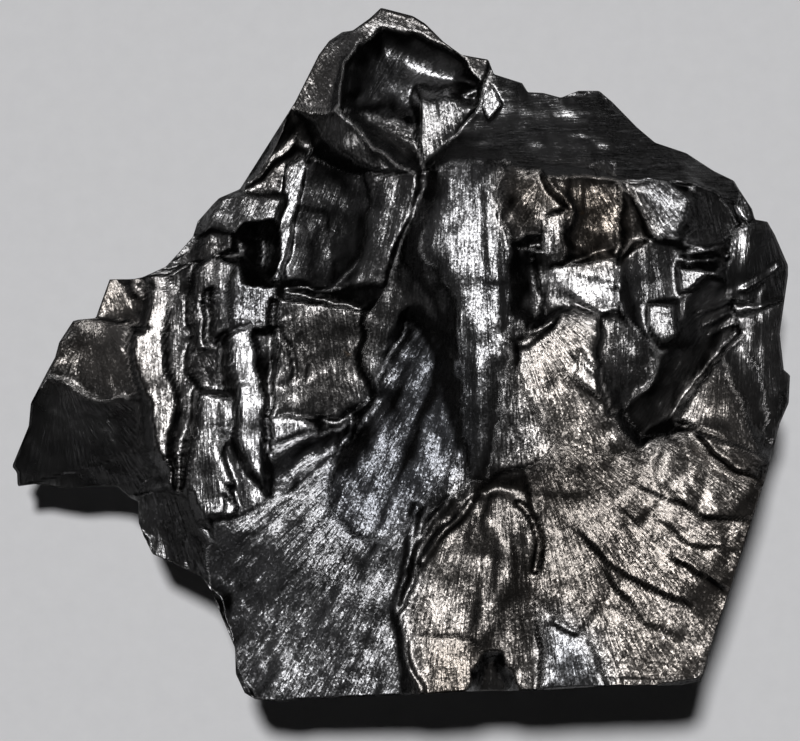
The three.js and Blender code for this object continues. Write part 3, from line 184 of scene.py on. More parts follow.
# %% The faces, from the rim inwards
# name, sag, reach, soft, start of the crack, striation, tint, polish, corners (x, y, height)
FACES = [
    ("ground", 0, 3, 8, (0, 200), 0.12, 0, 0.5, [
        (-3, 49.8, 33), (-12, 43, 34), (-15.5, 36.2, 36), (-23.5, 23.6, 33), (-30.3, 16.7, 30.5),
        (-37.5, 10.9, 29), (-42.3, 10.6, 27), (-47.5, 4.7, 26), (-53.7, -7.3, 23),
        (-56.4, -16.4, 19), (-55.6, -19.3, 19), (-45, -19.3, 21), (-38.2, -21.5, 24.4),
        (-36.1, -29.1, 25), (-27.5, -34.6, 29), (-24.2, -42.7, 31), (-21.3, -50.1, 34),
        (0, -49.5, 37), (20, -48.8, 38.4), (43, -47.5, 38.6), (47.2, -34.6, 39),
        (52.7, -17.3, 36.6), (56, -3.3, 34), (54.5, 2.7, 34), (55.7, 12.6, 33.6),
        (50.9, 19.2, 34), (45, 26.2, 34.4), (36.5, 30.3, 34.4), (28.4, 37.8, 33.6),
        (20.3, 37.5, 34), (12.4, 42.3, 34.4)]),
    ("lobe rim", 0, 3, 3, (-30, 60), 0.25, 0.3, 0.2, [
        (-16, 36, 36.4), (-12.5, 44, 35.6), (-7.2, 47, 35.2), (-3, 50, 34.4), (2, 48.8, 34.2),
        (8, 43.5, 34), (13, 42.5, 33), (13.5, 39, 34.4), (9, 38, 35.6), (0, 46, 35.4),
        (-6, 45.5, 36.6), (-9, 42, 37.4), (-9.6, 35, 39.4)]),
    ("bowl", -3.2, 5, 3, (-9, 30), 0.22, -0.1, 0.6, [
        (-9.3, 42, 37.6), (-7, 45, 36.2), (-3, 46.8, 34.6), (1, 46.3, 34), (5, 44, 33.6),
        (9, 42, 33.1), (11, 38.5, 34), (6, 36.6, 35.9), (3, 33, 36.7), (-2, 32, 37.3),
        (-6, 32, 39.4), (-9.5, 35, 40.4)]),
    ("lobe low", 0, 3, 2, (-20, 40), 0.3, 0.2, 0.2, [
        (-10, 34.4, 40.1), (-6.5, 34, 38.2), (-1, 33.3, 37), (2.8, 32, 36.8), (3, 26.6, 39),
        (2, 25.9, 41), (-1, 26.8, 40.9), (-5, 30, 40.4)]),
    ("tongue", 0.5, 3, 1.2, (0, 60), 0.15, 0.1, 0.4, [
        (2.6, 36.2, 37.6), (6, 37.1, 37.2), (10.6, 36, 36.6), (9.4, 31.5, 37.2),
        (5.4, 27.4, 38.4), (3.2, 26.6, 38.8), (2.2, 31, 38.2)]),
    ("band", 0.3, 5, 2, (-60, 30), 0.24, 0, 0.85, [
        (10.6, 36, 36), (12.8, 42, 34.6), (18, 38, 34.4), (23, 37, 34), (28.4, 38, 33),
        (33.9, 33, 34), (41, 29, 34.4), (47.5, 25.3, 34), (50, 19.6, 33.6), (45.8, 22.3, 36.8),
        (41, 24.8, 39.4), (36, 25.1, 40.4), (30, 25, 41), (24, 25.3, 41.4), (18, 26, 41.8),
        (14, 28.6, 41.6), (9, 27.4, 40.8), (5, 26.2, 39.4), (8.5, 30.5, 37.4)]),
    ("fleck a", 0, 3, 1.2, (0, 200), 0.1, -0.1, 0.5, [
        (11.5, 38.2, 35.6), (13, 38.6, 35.4), (14.2, 36.5, 35.4), (12.2, 34.3, 35.8),
        (11.2, 36, 35.8)]),
    ("fleck b", 0, 3, 1.6, (0, 200), 0.2, 0.2, 0.4, [
        (26.6, 27.3, 40), (28, 28.1, 39.7), (30.4, 27.9, 39.6), (30, 25.2, 40.8),
        (27.5, 25.3, 40.9)]),
    ("scoop wall", 0, 3, 1.2, (-9, 40), 0.2, 0.1, 0.65, [
        (-16, 36.2, 37), (-12.3, 34.6, 39), (-9.5, 34, 39.8), (-5, 30, 40.4), (-1, 26.8, 40.7),
        (2.4, 25.9, 41), (-2, 22, 40.3), (-8, 23, 38.8), (-14, 27.5, 36.8), (-14, 31, 37.2)]),
    ("wedge", -0.6, 2, 1.4, (-10, 40), 0.15, 0.3, 0.4, [
        (-24, 23.8, 33.6), (-20, 29, 35.1), (-16, 36.2, 37.9), (-13.8, 31.3, 34.6),
        (-14.4, 28.6, 33.5), (-17.3, 26, 34), (-17.6, 22.6, 34.5), (-20, 23.3, 34.2)]),
    ("scoop dark", -0.5, 4, 4, (3, 60), 0.1, 0, 0.5, [
        (-14.4, 28.4, 33.2), (-8, 25.4, 36.6), (-5.5, 25, 38), (-5.5, 18, 38), (-7.5, 12, 37.2),
        (-9.5, 8, 36.2), (-17.6, 9.3, 31.2), (-16.4, 18, 31.4), (-15.6, 24, 32)]),
    ("scoop plate", 0.3, 3, 0.9, (8, 60), 0.2, 0, 0.45, [
        (-6, 25.4, 37.8), (2.5, 25.8, 41.5), (1.6, 19, 41.4), (-0.4, 13, 40.2),
        (-2.5, 8.5, 38.9), (-9.5, 8.4, 36), (-7.5, 12, 36.9), (-5.6, 18, 38)]),
    ("scoop gutter", 0, 3, 2, (0, 60), 0.2, 0.1, 0.6, [
        (-17.7, 9.6, 33), (-9.5, 8.8, 36.3), (-2.4, 9, 38.6), (-3.3, 5.2, 35.2), (-8, 6, 33.4),
        (-17.2, 7.4, 31.5)]),
    ("scoop strip", 0, 3, 1, (3, 60), 0.15, -0.1, 0.65, [
        (-14.6, 28.6, 33.3), (-15.4, 24, 33.4), (-16.2, 18, 33.7), (-17.4, 10, 34.1),
        (-19.7, 11, 34), (-18.7, 17, 33.7), (-17.7, 22, 33.6), (-17.3, 27, 33.5)]),
    ("left plate", 0.3, 2, 1.1, (0, 60), 0.12, 0, 0.5, [
        (-27.3, 22, 34.1), (-24, 23.4, 34.8), (-18.2, 22.6, 36.2), (-19.1, 17, 36.3),
        (-20.3, 14, 36.1), (-25, 16.6, 35.1), (-29.3, 18.4, 33.4)]),
    ("upper left dark", 0, 3, 2, (-28, 60), 0.2, 0.2, 0.4, [
        (-30.4, 16.8, 30.3), (-28.6, 18, 32.6), (-26, 16.6, 34), (-25.6, 12.5, 34.3),
        (-28, 11, 32.8), (-31.8, 13, 30.4), (-33, 14, 29.5)]),
    ("rib ground", 0.3, 3, 2.5, (-28, 80), 0.3, 0, 0.55, [
        (-37.5, 10.9, 30.1), (-30.6, 13.6, 30.4), (-25, 13.8, 32.6), (-20.5, 12, 32.8),
        (-18, 8, 33.2), (-18.4, 0, 33.3), (-19.3, -9, 33.9), (-19, -20.5, 34), (-24, -24, 33.3),
        (-30, -24.4, 32.2), (-31.4, -20, 30.2), (-34, -20, 29.6), (-37.4, -15, 30.9),
        (-39.4, -6, 31.2), (-38.4, 3, 30.6)]),
    ("rib 1", 0.1, 1.3, 1.1, (-36, 90), 0.25, 0.35, 0.65, [
        (-37.4, 10.7, 30.6), (-34, 11.5, 30.6), (-33.6, 4, 31.2), (-33.4, -4, 31.6),
        (-33.3, -10, 31.9), (-33, -15, 32.1), (-31.6, -19.9, 32.2), (-33.3, -20.3, 32.3),
        (-37.2, -15.5, 32.1), (-38.4, -10, 31.9), (-39, -5, 31.7), (-38, 0, 31.6),
        (-37.6, 5, 31.2)]),
    ("gully 1", 0, 3, 1.2, (-31, 90), 0.15, 0, 0.5, [
        (-33.7, 11.6, 31), (-31.6, 13.1, 31.2), (-30.1, 9, 30), (-29.9, 2, 29.6),
        (-30.3, -2, 29.6), (-30.5, -8, 29.4), (-30.6, -14, 29), (-31.4, -19, 28.4),
        (-33, -15, 30.4), (-33.4, -4, 31)]),
    ("strip 2", 0.1, 1, 1, (-28, 90), 0.15, 0.2, 0.4, [
        (-30, 12, 32.7), (-27.6, 14.6, 33.6), (-27.2, 8, 33.8), (-28.2, 2, 33.2), (-28.3, 1, 33),
        (-30, 0.6, 32.4), (-30, 6, 32.6)]),
    ("slot 2", 0, 3, 0.9, (-28, 90), 0.1, 0, 0.5, [
        (-28.2, 9, 32.2), (-27.2, 9, 32), (-26.6, 2.2, 31.2), (-28.1, 2.2, 31.4)]),
    ("strip 3", 0.1, 1, 1.1, (-28, 90), 0.2, 0.1, 0.4, [
        (-27, 14, 34.2), (-25.4, 12, 34.5), (-24.9, 6, 34.4), (-24.5, 2.3, 34.3),
        (-26.9, 2.1, 33.6), (-27, 8, 33.9)]),
    ("shelf", -0.4, 2, 1.3, (-40, 20), 0.2, 0.2, 0.4, [
        (-30.2, 0.8, 32.2), (-26, 1.2, 33.1), (-26, -3, 32.8), (-26.1, -6, 31.8),
        (-29.6, -6, 31.2), (-31, -3, 31.4)]),
    ("slot 4", 0, 3, 0.9, (-28, 90), 0.1, 0, 0.7, [
        (-25.9, 2, 32), (-24.3, 2.3, 31.5), (-24.1, -6.2, 29.8), (-26, -6.2, 29.3)]),
    ("smooth plate", 0.15, 1.2, 1, (-28, 90), 0.1, 0, 0.7, [
        (-30.2, -6.7, 33.4), (-24.1, -6.4, 34.2), (-25, -12, 34.3), (-25.6, -22, 34.4),
        (-27.3, -24.4, 34), (-29.6, -24.2, 33.2), (-30.4, -21, 32.8), (-30.3, -14, 33.2)]),
    ("bright strip a", 0.05, 0.6, 1.2, (-28, 90), 0.1, 0.1, 0.85, [
        (-27.1, -11, 33.8), (-25.8, -11, 33.9), (-24.6, -18.6, 34.4), (-25.6, -19, 34.3)]),
    ("bright strip b", 0.05, 0.6, 1.2, (0, 200), 0.1, 0.1, 0.85, [
        (-26.1, -20.5, 33.7), (-25.1, -21, 33.9), (-24.7, -24.2, 34.3), (-25.8, -23.6, 34.1)]),
    ("streaks", 0.3, 1.5, 2, (-20, 90), 0.35, -0.2, 0.3, [
        (-25.2, 12.2, 34.8), (-20.6, 11.6, 35.5), (-17.9, 9.5, 35.3), (-18.4, 3, 35.5),
        (-21.5, 3.2, 35.1), (-24.3, 2.4, 34.1)]),
    ("bright big", 0.15, 1.6, 1.4, (-20, 90), 0.2, -0.1, 0.8, [
        (-24.2, 1.6, 35), (-21.3, 3, 35.1), (-20.4, -3, 35.3), (-19.9, -9, 35.6),
        (-19.8, -14, 35.8), (-18.8, -20.6, 36), (-21.2, -17.5, 35.9), (-23, -13, 35.7),
        (-24, -7, 35.4)]),
    ("hole", -0.3, 1.5, 2, (0, 200), 0.1, 0, 0.6, [
        (-24.5, 15, 32.4), (-22.5, 16.2, 30.4), (-20.7, 15.6, 29), (-20.3, 12.4, 29.4),
        (-21.5, 11.8, 30.6), (-24, 13.2, 32.4)]),
    ("block wedge", -0.5, 2, 1.5, (-46, 20), 0.2, 0.7, 0.3, [
        (-42.5, 10.7, 26.5), (-40, 10.8, 27), (-37.6, 11, 28), (-37.6, 3.4, 28.6),
        (-39, 4.6, 28.2), (-44, 5, 26.3)]),
    ("block white", 0, 3, 1.2, (0, 200), 0.05, -0.3, 0.9, [
        (-39.4, 10.9, 28.4), (-37.7, 11, 28.3), (-37.5, 7.3, 28.5), (-38.8, 8.6, 28.7)]),
    ("block fan", 0.3, 2, 1.6, (-45, 6), 0.35, 0.5, 0.2, [
        (-47.5, 4.6, 26.3), (-44, 5, 27.3), (-38.7, 3.4, 29.7), (-38.8, -6, 29.2), (-41, -7, 28),
        (-46, -6.2, 26.2), (-50.6, -3, 24.2), (-49.6, 1.4, 25)]),
    ("block black", -1, 4, 3, (-50, 0), 0.05, 0, 1, [
        (-50.8, -3.2, 25), (-46, -6.2, 27), (-41, -7, 28.6), (-39, -8, 29), (-38.2, -14, 28.4),
        (-37, -18, 26.6), (-38.6, -22.5, 22.6), (-45, -21.5, 20), (-57.5, -21.5, 18.4),
        (-58, -16.4, 19.2), (-54.5, -7, 23.4)]),
    ("under block", -0.5, 3, 1.4, (-40, 0), 0.25, 0, 0.6, [
        (-38.4, -21.3, 25), (-34, -20, 28.4), (-30.5, -20.8, 30.5), (-29.6, -24.5, 31),
        (-27, -28, 31.8), (-26.8, -34.5, 29.6), (-29, -32.6, 28), (-36, -29.4, 25),
        (-38.3, -24.5, 24.6)]),
    ("plate 5", 0.2, 2, 1, (-20, 60), 0.18, 0.25, 0.5, [
        (-17.4, 7.5, 36.9), (-8, 6.1, 35.6), (-4.4, 5.1, 35), (-2.6, 1, 33.6), (-4.6, -6, 32.7),
        (-10, -9.3, 33), (-18.6, -9.3, 34.9), (-18.2, 0, 36)]),
    ("channel", -0.3, 2, 3, (6, 80), 0.25, 0.1, 0.4, [
        (2.6, 26.2, 39.4), (1.6, 19, 39.4), (-0.4, 13, 38.8), (-2.5, 8.5, 37.8), (-4.6, 4, 36.4),
        (-4.8, -6, 34.4), (1, -2, 37.4), (7, -2, 42), (7, 5, 43), (5, 10, 43), (3.3, 15, 42.4),
        (3.1, 20, 42.2), (5.5, 26.4, 41)]),
    ("saddle", -0.2, 3, 4, (14, 30), 0.3, 0.2, 0.4, [
        (13.6, 8, 45), (17, 8, 44), (17, 2.6, 44.6), (24.6, 6.4, 43.5), (28, 5, 43.5),
        (28, -4, 44.2), (27, -14.4, 43.2), (21, -12.6, 43.8), (18, -17, 43), (12.6, -19, 42.4),
        (14, -13, 44), (14.4, -7, 44.8), (14, 3, 45.1)]),
    ("ridge foot", -0.2, 2, 4, (10, 60), 0.35, -0.3, 0.3, [
        (7, 5, 43.8), (8.6, -2, 44), (9, -8, 43.8), (9.2, -14, 42.8), (9, -19.2, 41.4),
        (2.6, -24.6, 38.8), (-1, -27.4, 38.3), (1, -24, 39), (4.5, -19, 40.3), (7.4, -13, 41.6),
        (7, -3, 42.4)]),
    ("crumble", 0.3, 3, 5, (18, 25), 0.5, -0.55, 0, [
        (0.5, 4, 36.4), (5.4, 2, 40), (7.2, -3, 41.8), (7.8, -9, 41.8), (8, -14, 41.4),
        (4.5, -19, 40.4), (1, -24, 39.2), (-5, -30, 37.4), (-11, -31, 36), (-12, -24, 34.8),
        (-10.6, -18, 34), (-7.6, -12, 34), (-5, -7, 34.4), (-2.4, -1, 35)]),
    ("bright 5", 0.2, 1, 2, (0, 200), 0.15, -0.1, 0.6, [
        (-18.6, -9.3, 34.8), (-14.5, -9.2, 34.6), (-12.6, -11.5, 34.4), (-16, -13.6, 34.9),
        (-18.8, -13, 35)]),
    ("lower left", 0.4, 4, 4, (20, 10), 0.45, -0.15, 0.15, [
        (-27, -24.3, 32.4), (-19, -20.8, 34), (-18.6, -13.6, 34.6), (-12.6, -11.6, 34),
        (-9, -10.6, 33.8), (-10.6, -17, 34), (-11, -23, 34.9), (-8, -27, 36.3),
        (-3, -28.4, 37.9), (2.4, -24.6, 39.1), (3, -30, 38.8), (0.6, -38, 38), (2.5, -50, 37.4),
        (-10, -50.6, 35.4), (-21, -50.6, 32.8), (-24, -46, 31.4), (-24.6, -42.5, 30.4),
        (-26.3, -37.5, 29.2), (-27.6, -34, 28.6), (-27.2, -28, 31)]),
    ("ridge", 1, 3.5, 3.6, (9, 90), 0.35, -0.1, 0.5, [
        (5.6, 26.3, 42), (3.1, 20, 43), (3.4, 15, 43.5), (5, 10, 44), (7, 5, 44.6),
        (7.6, -2, 44.7), (8.3, -8, 44.2), (8.6, -14, 43), (8.6, -19, 41.4), (12.6, -19, 41.6),
        (14.4, -13, 43.2), (15, -7, 44.6), (14.6, 3, 45.3), (16.6, 9, 44.6), (15, 15, 45),
        (12.6, 22, 44.6), (14, 28.4, 42.6), (10, 27.2, 42.4)]),
    ("fan", -0.4, 3, 4, (21, 27), 0.28, 0.7, 0.4, [
        (14, 28.5, 42.2), (18, 26, 42), (21, 25.3, 41.6), (24.9, 19.4, 42.4), (22, 17, 43.8),
        (18, 16.6, 45), (15, 15, 46.1), (12.6, 22, 45.2)]),
    ("brown 5", -0.6, 2.5, 2.5, (25, 30), 0.25, 1, 0.4, [
        (21, 25.4, 43.9), (30, 25, 41.5), (32, 24.7, 40.8), (32.6, 21.5, 40.3), (31, 18, 41),
        (30.6, 14.6, 40.5), (29.6, 13.4, 37.9), (24.4, 13, 40.3), (24.8, 19.4, 43.8)]),
    ("spot", 0.2, 1, 2.4, (22, 40), 0.2, -0.1, 0.5, [
        (21.2, 19, 43.4), (24, 19.6, 43.4), (24.3, 14.5, 43.1), (23, 12.2, 43.4), (21, 15, 43.4)]),
    ("pit", -0.6, 1.8, 1.6, (18, 40), 0.3, 0.1, 0.2, [
        (15.8, 14.7, 43.5), (18.7, 14.6, 43), (19.2, 12, 40.5), (20.8, 8, 40.5), (19, 5.2, 41.2),
        (16.4, 5.8, 42.4)]),
    ("around pit", -0.3, 1.5, 3, (22, 40), 0.35, 0.1, 0.2, [
        (19, 14.8, 43.6), (21.2, 14.6, 43.6), (23, 12, 43), (25.4, 8, 42.8), (24.6, 6.4, 42.6),
        (20.6, 5.9, 42.4), (21.2, 8.2, 41.4), (19.6, 12, 41.6)]),
    ("bright facet", 0.2, 2, 1.3, (24, 30), 0.15, 0, 0.7, [
        (22.4, 11.7, 41.8), (24.5, 12.9, 41.9), (29.8, 13.8, 42), (30.4, 9, 42.8),
        (31.2, 6, 43.4), (28.9, 5.2, 43.6), (25.4, 8, 42.8)]),
    ("smooth face", 0.3, 3, 3.5, (14, 12), 0.2, 0.6, 0.5, [
        (15.6, 2.4, 43.4), (19, 2.7, 43.4), (22, 4, 43.3), (25, 6.4, 42.8), (28.6, 5, 43.3),
        (28, 0, 43.8), (29, -4, 44.3), (30, -9, 43.8), (33.4, -14, 42.5), (27, -14.6, 42.8),
        (21, -12.6, 43.4), (18.6, -7, 44.1), (16.6, -2, 44.1)]),
    ("bright tri", 0, 1, 2.5, (0, 200), 0.1, 0.2, 0.95, [
        (24.6, 0.2, 43.7), (28.8, -3, 44.3), (28.6, -6.8, 44.9), (24.6, -3.6, 44.3)]),
    ("right slope", -0.5, 2, 3.5, (32, 30), 0.35, 0.1, 0.3, [
        (28.4, 5.4, 43.1), (31.2, 6.2, 43), (34, 3, 42.2), (36.6, -1.4, 40.9),
        (35.2, -5.5, 39.6), (32, -8.6, 41.4), (30, -9, 42.8), (28.9, -4, 43.5), (28, 0, 43.2)]),
    ("right mid", -0.5, 3, 3, (33, 40), 0.6, 0, 0.3, [
        (30.5, 14.6, 41.8), (33, 16.2, 41.1), (37, 15.6, 39.9), (41, 15.6, 38.7),
        (45.2, 16.6, 35.9), (47.6, 14, 33), (45.5, 10.8, 36.3), (42, 8, 39.2), (40.2, 3, 39.7),
        (37, -1.4, 40.5), (34, 3, 42.4), (31.2, 6.3, 43.9), (30.4, 9, 43.4)]),
    ("mid facet a", 0.2, 1.2, 2.4, (0, 200), 0.2, 0, 0.4, [
        (35.8, 7, 41.4), (39.8, 6.2, 41.2), (39.2, 2, 41.6), (37, 0, 41.6), (35.6, 3.4, 41.8)]),
    ("mid facet b", 0.1, 1, 2, (0, 200), 0.15, -0.1, 0.5, [
        (40.2, 12.2, 39.8), (43.5, 11.6, 40), (46, 10.8, 40), (43, 8.9, 40.1), (41, 8.3, 40.1)]),
    ("sliver", 0, 3, 1.2, (0, 200), 0.05, 0, 0.8, [
        (40.4, 14, 39.4), (42, 16, 39.4), (45.3, 17.7, 38.8), (45.1, 16.2, 38.9),
        (42.5, 14.8, 39.3)]),
    ("brown slope", -0.7, 1.5, 3, (30, 40), 0.2, 0.7, 0.5, [
        (30.6, 24.6, 41.6), (32.6, 22.4, 41), (35.2, 18.6, 40.4), (37.2, 15.9, 39.6),
        (33, 16.2, 38.6), (30.9, 14.6, 39.6), (30.8, 20, 41)]),
    ("oval", 0.4, 2, 2.2, (30, 30), 0.3, -0.1, 0.4, [
        (32, 24.6, 41), (37, 24.8, 40.9), (40.6, 22.6, 41), (41.7, 19, 41.2), (40.3, 16, 41.3),
        (37.3, 15.9, 41.1), (35, 19, 41.2), (32.7, 21.8, 41.2)]),
    ("crescent", -0.6, 2, 2, (0, 200), 0.15, 0.1, 0.7, [
        (41.4, 24.7, 39.4), (45.7, 22.7, 37), (47.8, 19, 35.4), (46.2, 16.8, 36.4),
        (43.5, 15.9, 38.2), (40.9, 15.6, 39.4), (42, 19, 38.8)]),
    ("slim", 0, 3, 1.2, (0, 200), 0.02, 0, 1, [
        (48.4, 23.2, 34.4), (50.6, 20.7, 34), (51, 19.2, 34), (49, 18.5, 35), (47.6, 20.8, 35.2)]),
    ("knob", 0.3, 3, 1.2, (50, 30), 0.15, 0, 1, [
        (47.6, 18.2, 35.4), (51, 19.4, 33.4), (54, 17.3, 32.2), (56, 12.6, 31.4),
        (55.9, 8, 31.4), (51, 5.8, 34), (47.8, 8, 35.4), (46.6, 12, 36.4)]),
    ("scoop r", -0.5, 2, 1.1, (50, 14), 0.16, 0.15, 0.75, [
        (44.7, 10.5, 37.5), (41.5, 7.2, 40), (40, 2.5, 40.2), (36.8, -2, 40.4), (35, -5.5, 40.4),
        (31.8, -8.5, 41.6), (34, -12.4, 40.4), (38, -12.4, 38), (40.5, -9.9, 36.4),
        (43, -7, 35.6), (46.6, -0.4, 34.8), (48.3, 4.5, 34.6), (47.8, 9, 35.2)]),
    ("right ridge", 0.2, 2, 1.5, (52, 30), 0.25, 0.1, 0.8, [
        (48.4, 5, 35.4), (51, 5.8, 34.6), (55.9, 7.9, 32.6), (54.8, 2.7, 33.2),
        (55.4, -2.5, 33.4), (56.2, -3.3, 33.4), (56, -7.3, 33.6), (54.8, -10.4, 34.4),
        (54, -13, 35.4), (51.3, -12.6, 37), (51.2, -6, 36.4), (50, -1, 35.8)]),
    ("scoop s", -0.2, 1, 1.1, (49, 20), 0.1, 0.1, 0.9, [
        (47, 0.8, 37.2), (49, 2.6, 35.8), (50.4, -1, 35.8), (51.6, -5, 36), (51.7, -10, 36.4),
        (50.9, -14, 37.4), (49.4, -11.6, 38.2), (48.2, -5.6, 37.8)]),
    ("triangle", 0.2, 1.5, 1.1, (47, 8), 0.2, 0.6, 0.5, [
        (46.9, 0.6, 37), (40.2, -10.2, 40.4), (44, -11.8, 40.3), (47, -13.7, 39.9),
        (51.2, -16, 39), (49.6, -11.4, 38.6), (48.2, -5.6, 37.7)]),
    ("plume", 0.4, 7, 4, (17, -8), 0.18, 0.65, 0.3, [
        (21, -12.4, 43.6), (27, -14.4, 43.1), (33.4, -13.8, 42.4), (38, -12.4, 41),
        (42, -12, 40.4), (47, -14, 40.2), (51.4, -16.2, 39.2), (53, -17.6, 38),
        (50.4, -25.4, 39.6), (47.5, -34.6, 40.4), (45.3, -40.8, 40.6), (43.4, -47.6, 40.6),
        (30, -48.6, 41), (20, -49.2, 40.4), (19.6, -38, 40.8), (19.8, -30, 41),
        (19.6, -23, 41.6), (18, -17, 42.8)]),
    ("lobe a", 0.5, 2.5, 2.4, (30, -8), 0.3, 0.55, 0.5, [
        (37.4, -12.6, 41), (41.4, -13, 40.4), (46, -16.8, 40), (50.8, -19.8, 39.4),
        (50.4, -23.4, 39.4), (46, -24, 40.2), (41, -22.2, 41), (37, -19.8, 41.6),
        (35.4, -16, 41.9)]),
    ("bottom folds", 0.3, 3, 5, (14, 0), 0.35, 0.5, 0.4, [
        (2.6, -24, 38.9), (8.6, -19, 41.3), (12.6, -19, 42), (18, -17, 42.7), (19.8, -23, 41.5),
        (19.8, -30, 40.9), (19.6, -38, 40.5), (19.8, -49.4, 40.2), (2.2, -50, 39.2),
        (0.8, -38, 38.8), (3, -30, 38.8)]),
    ("toe", 0.2, 1.5, 3, (7, 0), 0.15, 0.8, 0.3, [
        (3.6, -41, 39.2), (9, -41.4, 39.6), (12.4, -44.4, 39.9), (10.4, -48, 39.9),
        (9.6, -49.6, 39.8), (4.4, -50, 39.3)]),
    ("arch", -1, 1.2, 1.3, (0, 200), 0.1, 0.2, 0.5, [
        (10.4, -47.8, 37.6), (12.2, -44.4, 38.6), (13.6, -44.2, 38.6), (16.2, -49.4, 36.8),
        (10.4, -49.8, 36)]),
    ("grey", 0.3, 2.5, 4.5, (18, -10), 0.12, -0.4, 0.5, [
        (20.4, -36, 40.8), (23, -36.6, 40.9), (27, -41, 41), (29.6, -48.7, 41.2),
        (20.2, -49.4, 40.6)]),
]
print(len(FACES), "break faces")

# %% Ridges, grooves and hackle steps
# rise (a groove's is negative), half width, line
RIDGES = [
    (0.6, 0.6, [(-22.4, 24.7), (-19.6, 28), (-16.6, 30.2), (-14.8, 29.4), (-14.3, 28)]),
    (0.45, 0.5, [(-12.3, 34.7), (-9.6, 34.1), (-5, 30), (-1, 26.8), (2.4, 25.9)]),
    (0.7, 0.6, [(14.5, 2.2), (17, 2.1), (19.5, 2.9), (21.5, 4.2), (23, 6.2)]),
    (0.4, 0.4, [(24.2, -0.3), (27.8, -3.3)]),
    (0.5, 0.4, [(49.4, 8.8), (51.5, 10.8), (53.6, 12.3)]),
    (0.5, 0.3, [(44, 5.4), (47.6, 7)]),
    (0.5, 0.3, [(44.6, 4.2), (48, 5.6)]),
    (0.4, 0.3, [(45.2, 3), (48, 4.2)]),
    (-1.6, 0.45, [(16.8, -22.4), (19.1, -24), (19.8, -27.5), (19.2, -31.2)]),
    (1.3, 2.6, [(12.6, -25.5), (14.6, -29), (14.2, -35), (11, -41)]),
    (-1.5, 1.8, [(11.4, -20.8), (14, -19.8), (16.6, -20.6)]),
    (-2, 2.4, [(-9, -12.6), (-12.6, -15), (-16.6, -18.6)]),
    (0.9, 0.7, [(8.6, -22), (6, -25.4), (4.4, -28.4), (3, -31)]),
    (0.8, 0.6, [(6, -21.4), (3.4, -25), (1.8, -28.4), (0.4, -32)]),
    (0.9, 0.7, [(1.2, -22.8), (0.8, -30), (0, -37), (1.4, -44.4), (3.3, -49)]),
    (-1.5, 0.4, [(-18.4, 7.2), (-18.6, 0), (-19.4, -8), (-19.2, -15)]),
    (-0.8, 0.3, [(-17.6, 3.4), (-15.8, -4)]),
    (-0.5, 0.3, [(-14.6, 2), (-13.6, -4)]),
]
# rise on the left of the line, how far it takes to fade, line
STEPS = [
    (0.7, 3, [(33.4, -19), (37.2, -21.4), (43.2, -22.6)]),
    (0.9, 3, [(43.6, -22.8), (50, -24)]),
    (0.7, 3, [(36.4, -25), (41.6, -27.2), (48.2, -28)]),
    (0.6, 3, [(30.6, -23), (35, -25.8)]),
    (1.2, 4, [(38.6, -29.3), (43, -31.6), (47.4, -34)]),
    (1.1, 4, [(23.4, -23.6), (30.6, -31.6), (38, -35.2), (44.4, -37.8)]),
    (0.7, 3, [(28.4, -30), (34.4, -39.4), (40.2, -41.6)]),
    (0.7, 3, [(21.6, -37.6), (26, -41)]),
    (1.8, 3, [(41.5, -11.4), (45.9, -15.6), (51.2, -19.4)]),
]
print(len(RIDGES), "ridges and grooves,", len(STEPS), "steps")

# %% [markdown]
# ## From corners to a surface
# A face with five or twelve corners isn't flat, so its heights are stretched between the corners
# like a skin on a frame (mean value coordinates). Inside its border a face replaces what was
# there. Beside it, the older surface may stand above or below the border only by as much as a
# bank of fixed slope allows, so two faces meet in a crease and not in a sheer step.

# %% Distances to lines, and the stretched skin
def nearest_on(line, x, y, closed):
    """The nearest place on a run of straight pieces, for each point.

    Gives the distance to it, the same distance with a sign (+ is left of the line), its share
    of the whole run, and the line's height there.
    """
    line = np.asarray(line, float)
    line = np.pad(line, ((0, 0), (0, 3 - line.shape[1])))
    ends = np.roll(line, -1, axis=0)
    count = len(line) if closed else len(line) - 1
    best, side, share, level = (np.full(np.shape(x), v) for v in (np.inf, 0.0, 0.0, 0.0))
    for n in range(count):
        (ax, ay, az), (ex, ey, ez) = line[n], ends[n] - line[n]
        t = np.clip(((x - ax) * ex + (y - ay) * ey) / (ex * ex + ey * ey), 0, 1)
        d = np.hypot(x - ax - t * ex, y - ay - t * ey)
        nearer = d < best
        side = np.where(nearer, np.sign(ex * (y - ay) - ey * (x - ax)) * d, side)
        share = np.where(nearer, (n + t) / count, share)
        level = np.where(nearer, az + t * ez, level)
        best = np.where(nearer, d, best)
    return best, side, share, level


def is_inside(corners, x, y):
    """True where a line drawn sideways from the point crosses the border an odd number of times."""
    inside = np.zeros(np.shape(x), bool)
    for (ax, ay), (bx, by) in zip(corners[:, :2], np.roll(corners[:, :2], -1, axis=0)):
        if ay != by:
            inside ^= ((ay > y) != (by > y)) & (x < (bx - ax) * (y - ay) / (by - ay) + ax)
    return inside


def stretched(corners, x, y):
    """Mean value coordinates: each corner weighs by the half-angles beside it over its distance."""
    cx, cy = corners[:, 0, None] - x, corners[:, 1, None] - y
    nx, ny = np.roll(cx, -1, axis=0), np.roll(cy, -1, axis=0)
    far = np.maximum(np.hypot(cx, cy), 1e-6)
    half = (cx * ny - cy * nx) / np.maximum(far * np.roll(far, -1, axis=0) + cx * nx + cy * ny, 1e-5)
    weight = (np.roll(half, 1, axis=0) + half) / far
    return (weight * corners[:, 2, None]).sum(0) / weight.sum(0)


def ease(t):
    """From 0 to 1, level at both ends: three t squared minus two t cubed."""
    t = np.clip(t, 0, 1)
    return t * t * (3 - 2 * t)


